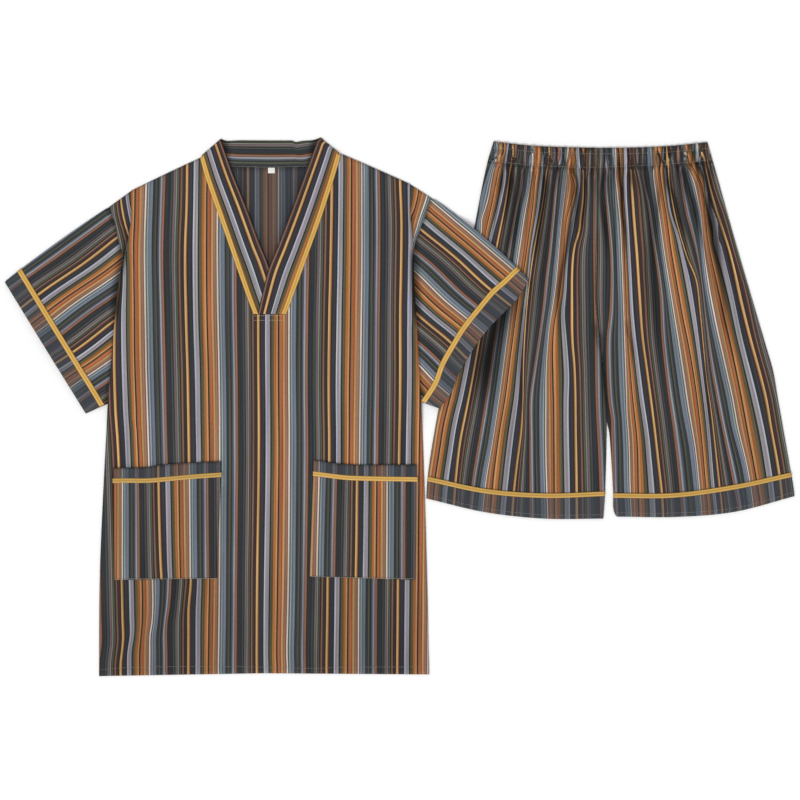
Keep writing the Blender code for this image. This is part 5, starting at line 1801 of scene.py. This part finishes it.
# The blank label inside the back of the neck.
label = {"wide": 10.0, "long": 8.0, "thick": 0.6, "bevel": 0.25, "middle": (10.7, 732.4)}
shape = bmesh.new()
bmesh.ops.create_cube(shape, size=1.0)
bmesh.ops.scale(shape, vec=(label["wide"] * mm, label["long"] * mm, label["thick"] * mm), verts=shape.verts)
bmesh.ops.bevel(shape, geom=shape.edges, offset=label["bevel"] * mm, offset_type="OFFSET",
                affect="EDGES", segments=2, profile=0.5, material=-1)
middle = Vector((*label["middle"], cloth + gap + label["thick"] / 2.0))
bmesh.ops.translate(shape, vec=(topPlace + middle) * mm, verts=shape.verts)
neckLabel = newPiece("neckLabel", shape, [labelCotton])
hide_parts("neck_label")
print("label")


# Lines of stitching, a small capsule for each stitch.
stitching = {"pitch": 3.2, "long": 2.9, "thick": 0.5, "pocketThick": 0.9, "rise": 0.1,
             "pocketRise": 0.5, "backNeckUp": 1.5, "belowWaist": 9.0, "aboveHem": 5.8,
             "pocketSteps": 30, "legSteps": 160, "legEnds": (0.01, 0.99)}
# Where the lines of stitching run on the top, in pixels.
stitchRuns = {
    "hem": [(100.5, 669.8), (128, 667.6), (180, 666.6), (250, 666.8), (310, 668.3), (350, 667.3),
            (427.5, 666.8)],
    "neckUpper": [(254, 315.9), (285, 315.6)],
    "neckLower": [(254, 320.4), (285, 320.2)],
    "backNeck": [(232, 166.0), (250, 166.7), (269, 166.9), (290, 166.6), (306, 166.0)],
    "pocket": {"left": [(115.4, 578.7), (216.0, 578.2)], "right": [(311.8, 576.4), (413.8, 578.5)]},
}


def sew(name, runs, place, finish, slotName, thick=stitching["thick"]):
    shape = bmesh.new()
    for run in runs:
        walked = 0.0
        due = stitching["pitch"] / 2.0
        for first, second in zip(run, run[1:]):
            way = second - first
            while due <= walked + way.length:
                spot = first + way * ((due - walked) / way.length)
                turn = way.to_track_quat("X", "Z").to_matrix().to_4x4()
                size = Matrix.Diagonal((stitching["long"], thick, thick, 1.0))
                at = Matrix.Translation((place + spot) * mm) @ turn @ size @ Matrix.Scale(mm / 2.0, 4)
                bmesh.ops.create_icosphere(shape, subdivisions=1, radius=1.0, matrix=at)
                due += stitching["pitch"]
            walked += way.length
    return newPiece(name, shape, [finish])


def drawn(points, steps=12):
    # A smooth run through a few points.
    at = list(range(len(points)))
    axes = [list(zip(at, values)) for values in zip(*points)]
    count = (len(points) - 1) * steps
    return [tuple(smooth(axis, number / steps) for axis in axes) for number in range(count + 1)]


def onFront(points, steps=12, above=0.0):
    run = []
    for column, row in drawn(points, steps):
        spot = fromPixel(topPlace, column, row)
        run.append(Vector((spot.x, spot.y, frontTop(spot.x, spot.y) + stitching["rise"] + above)))
    return run


def onLeg(side, levelName, offset):
    levels = legLevels[side]
    run = []
    for number in range(stitching["legSteps"] + 1):
        share = mix(*stitching["legEnds"], number / stitching["legSteps"])
        up = levelUp(levels[levelName], share) + offset
        across = mix(*legEdges(side, up), share)
        waistUp, casingUp = (levelUp(levels[key], share) for key in ("waist", "casing"))
        rise = legRise(side, share, across, up, waistUp, casingUp)
        rise += shorts["hemExtra"] if levelName == "hem" else 0.0
        run.append(Vector((across, up, shorts["rest"] + cloth + rise + stitching["rise"])))
    return run


sew("frontStitches", [onFront(stitchRuns["hem"])], topPlace, paleThread, "shirt_front")
sew("neckStitches", [onFront(stitchRuns[key]) for key in ("neckUpper", "neckLower")], topPlace,
    creamThread, "shirt_front")
backNeck = [(*fromPixel(topPlace, *point), stitching["backNeckUp"])
            for point in drawn(stitchRuns["backNeck"])]
sew("backNeckStitches", [[Vector(point) for point in backNeck]], topPlace, paleThread, "collar_band")
for side in ("left", "right"):
    run = onFront(stitchRuns["pocket"][side], stitching["pocketSteps"],
                  cloth + gap + stitching["pocketRise"])
    sew("pocketStitches." + side, [run], topPlace, paleThread, "pocket_" + side,
        stitching["pocketThick"])
for side in ("left", "right"):
    runs = [onLeg(side, "casing", 0.0), onLeg(side, "waist", -stitching["belowWaist"]),
            onLeg(side, "hem", stitching["aboveHem"])]
    sew("shortsStitches." + side, runs, shortsPlace, paleThread, "shorts_front_" + side)
print("stitching")


# The floor, the light and the camera.
studio = {
    "floorColour": (0.97, 0.97, 0.97, 1.0),
    "floorHalf": 6.0,
    "floorDown": 0.4,             # in millimetres, so that it doesn't touch the cloth
    "skyStrength": 0.66,
    "keyStrength": 1.66,
    "keyAngle": 28.0,
    "keyTilt": (38.0, -22.0),
    "lens": 85.0,
    "sensor": 36.0,
    "frameWide": 1.160,
    "clothHeight": 0.003,
    "middle": (0.0007, 0.00935),
}
shape = bmesh.new()
bmesh.ops.create_grid(shape, x_segments=1, y_segments=1, size=studio["floorHalf"])
bmesh.ops.translate(shape, vec=(0.0, 0.0, -studio["floorDown"] * mm), verts=shape.verts)
floorMesh = bpy.data.meshes.new("floor")
shape.to_mesh(floorMesh)
shape.free()
floor = bpy.data.objects.new("floor", floorMesh)
bpy.context.scene.collection.objects.link(floor)
floorFinish = Finish("pale floor", Roughness=0.9, Specular_IOR_Level=0.1)
floorFinish.shader.inputs["Base Color"].default_value = studio["floorColour"]
floorMesh.materials.append(floorFinish.material)
floor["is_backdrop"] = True

sky = bpy.data.worlds.new("soft studio")
sky.use_nodes = True
backdrop = sky.node_tree.nodes["Background"].inputs
backdrop["Color"].default_value = (1.0, 1.0, 1.0, 1.0)
backdrop["Strength"].default_value = studio["skyStrength"]
bpy.context.scene.world = sky
key = bpy.data.objects.new("key", bpy.data.lights.new("key", "SUN"))
key.data.energy = studio["keyStrength"]
key.data.angle = math.radians(studio["keyAngle"])
key.rotation_euler = [math.radians(angle) for angle in (*studio["keyTilt"], 0.0)]
bpy.context.scene.collection.objects.link(key)

camera = bpy.data.objects.new("camera", bpy.data.cameras.new("camera"))
camera.data.lens = studio["lens"]
camera.data.sensor_width = studio["sensor"]
away = studio["frameWide"] * studio["lens"] / studio["sensor"]
camera.location = (*studio["middle"], away + studio["clothHeight"])
bpy.context.scene.collection.objects.link(camera)
bpy.context.scene.camera = camera
bpy.context.scene.view_settings.view_transform = "Standard"
print("studio")

low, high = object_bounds()
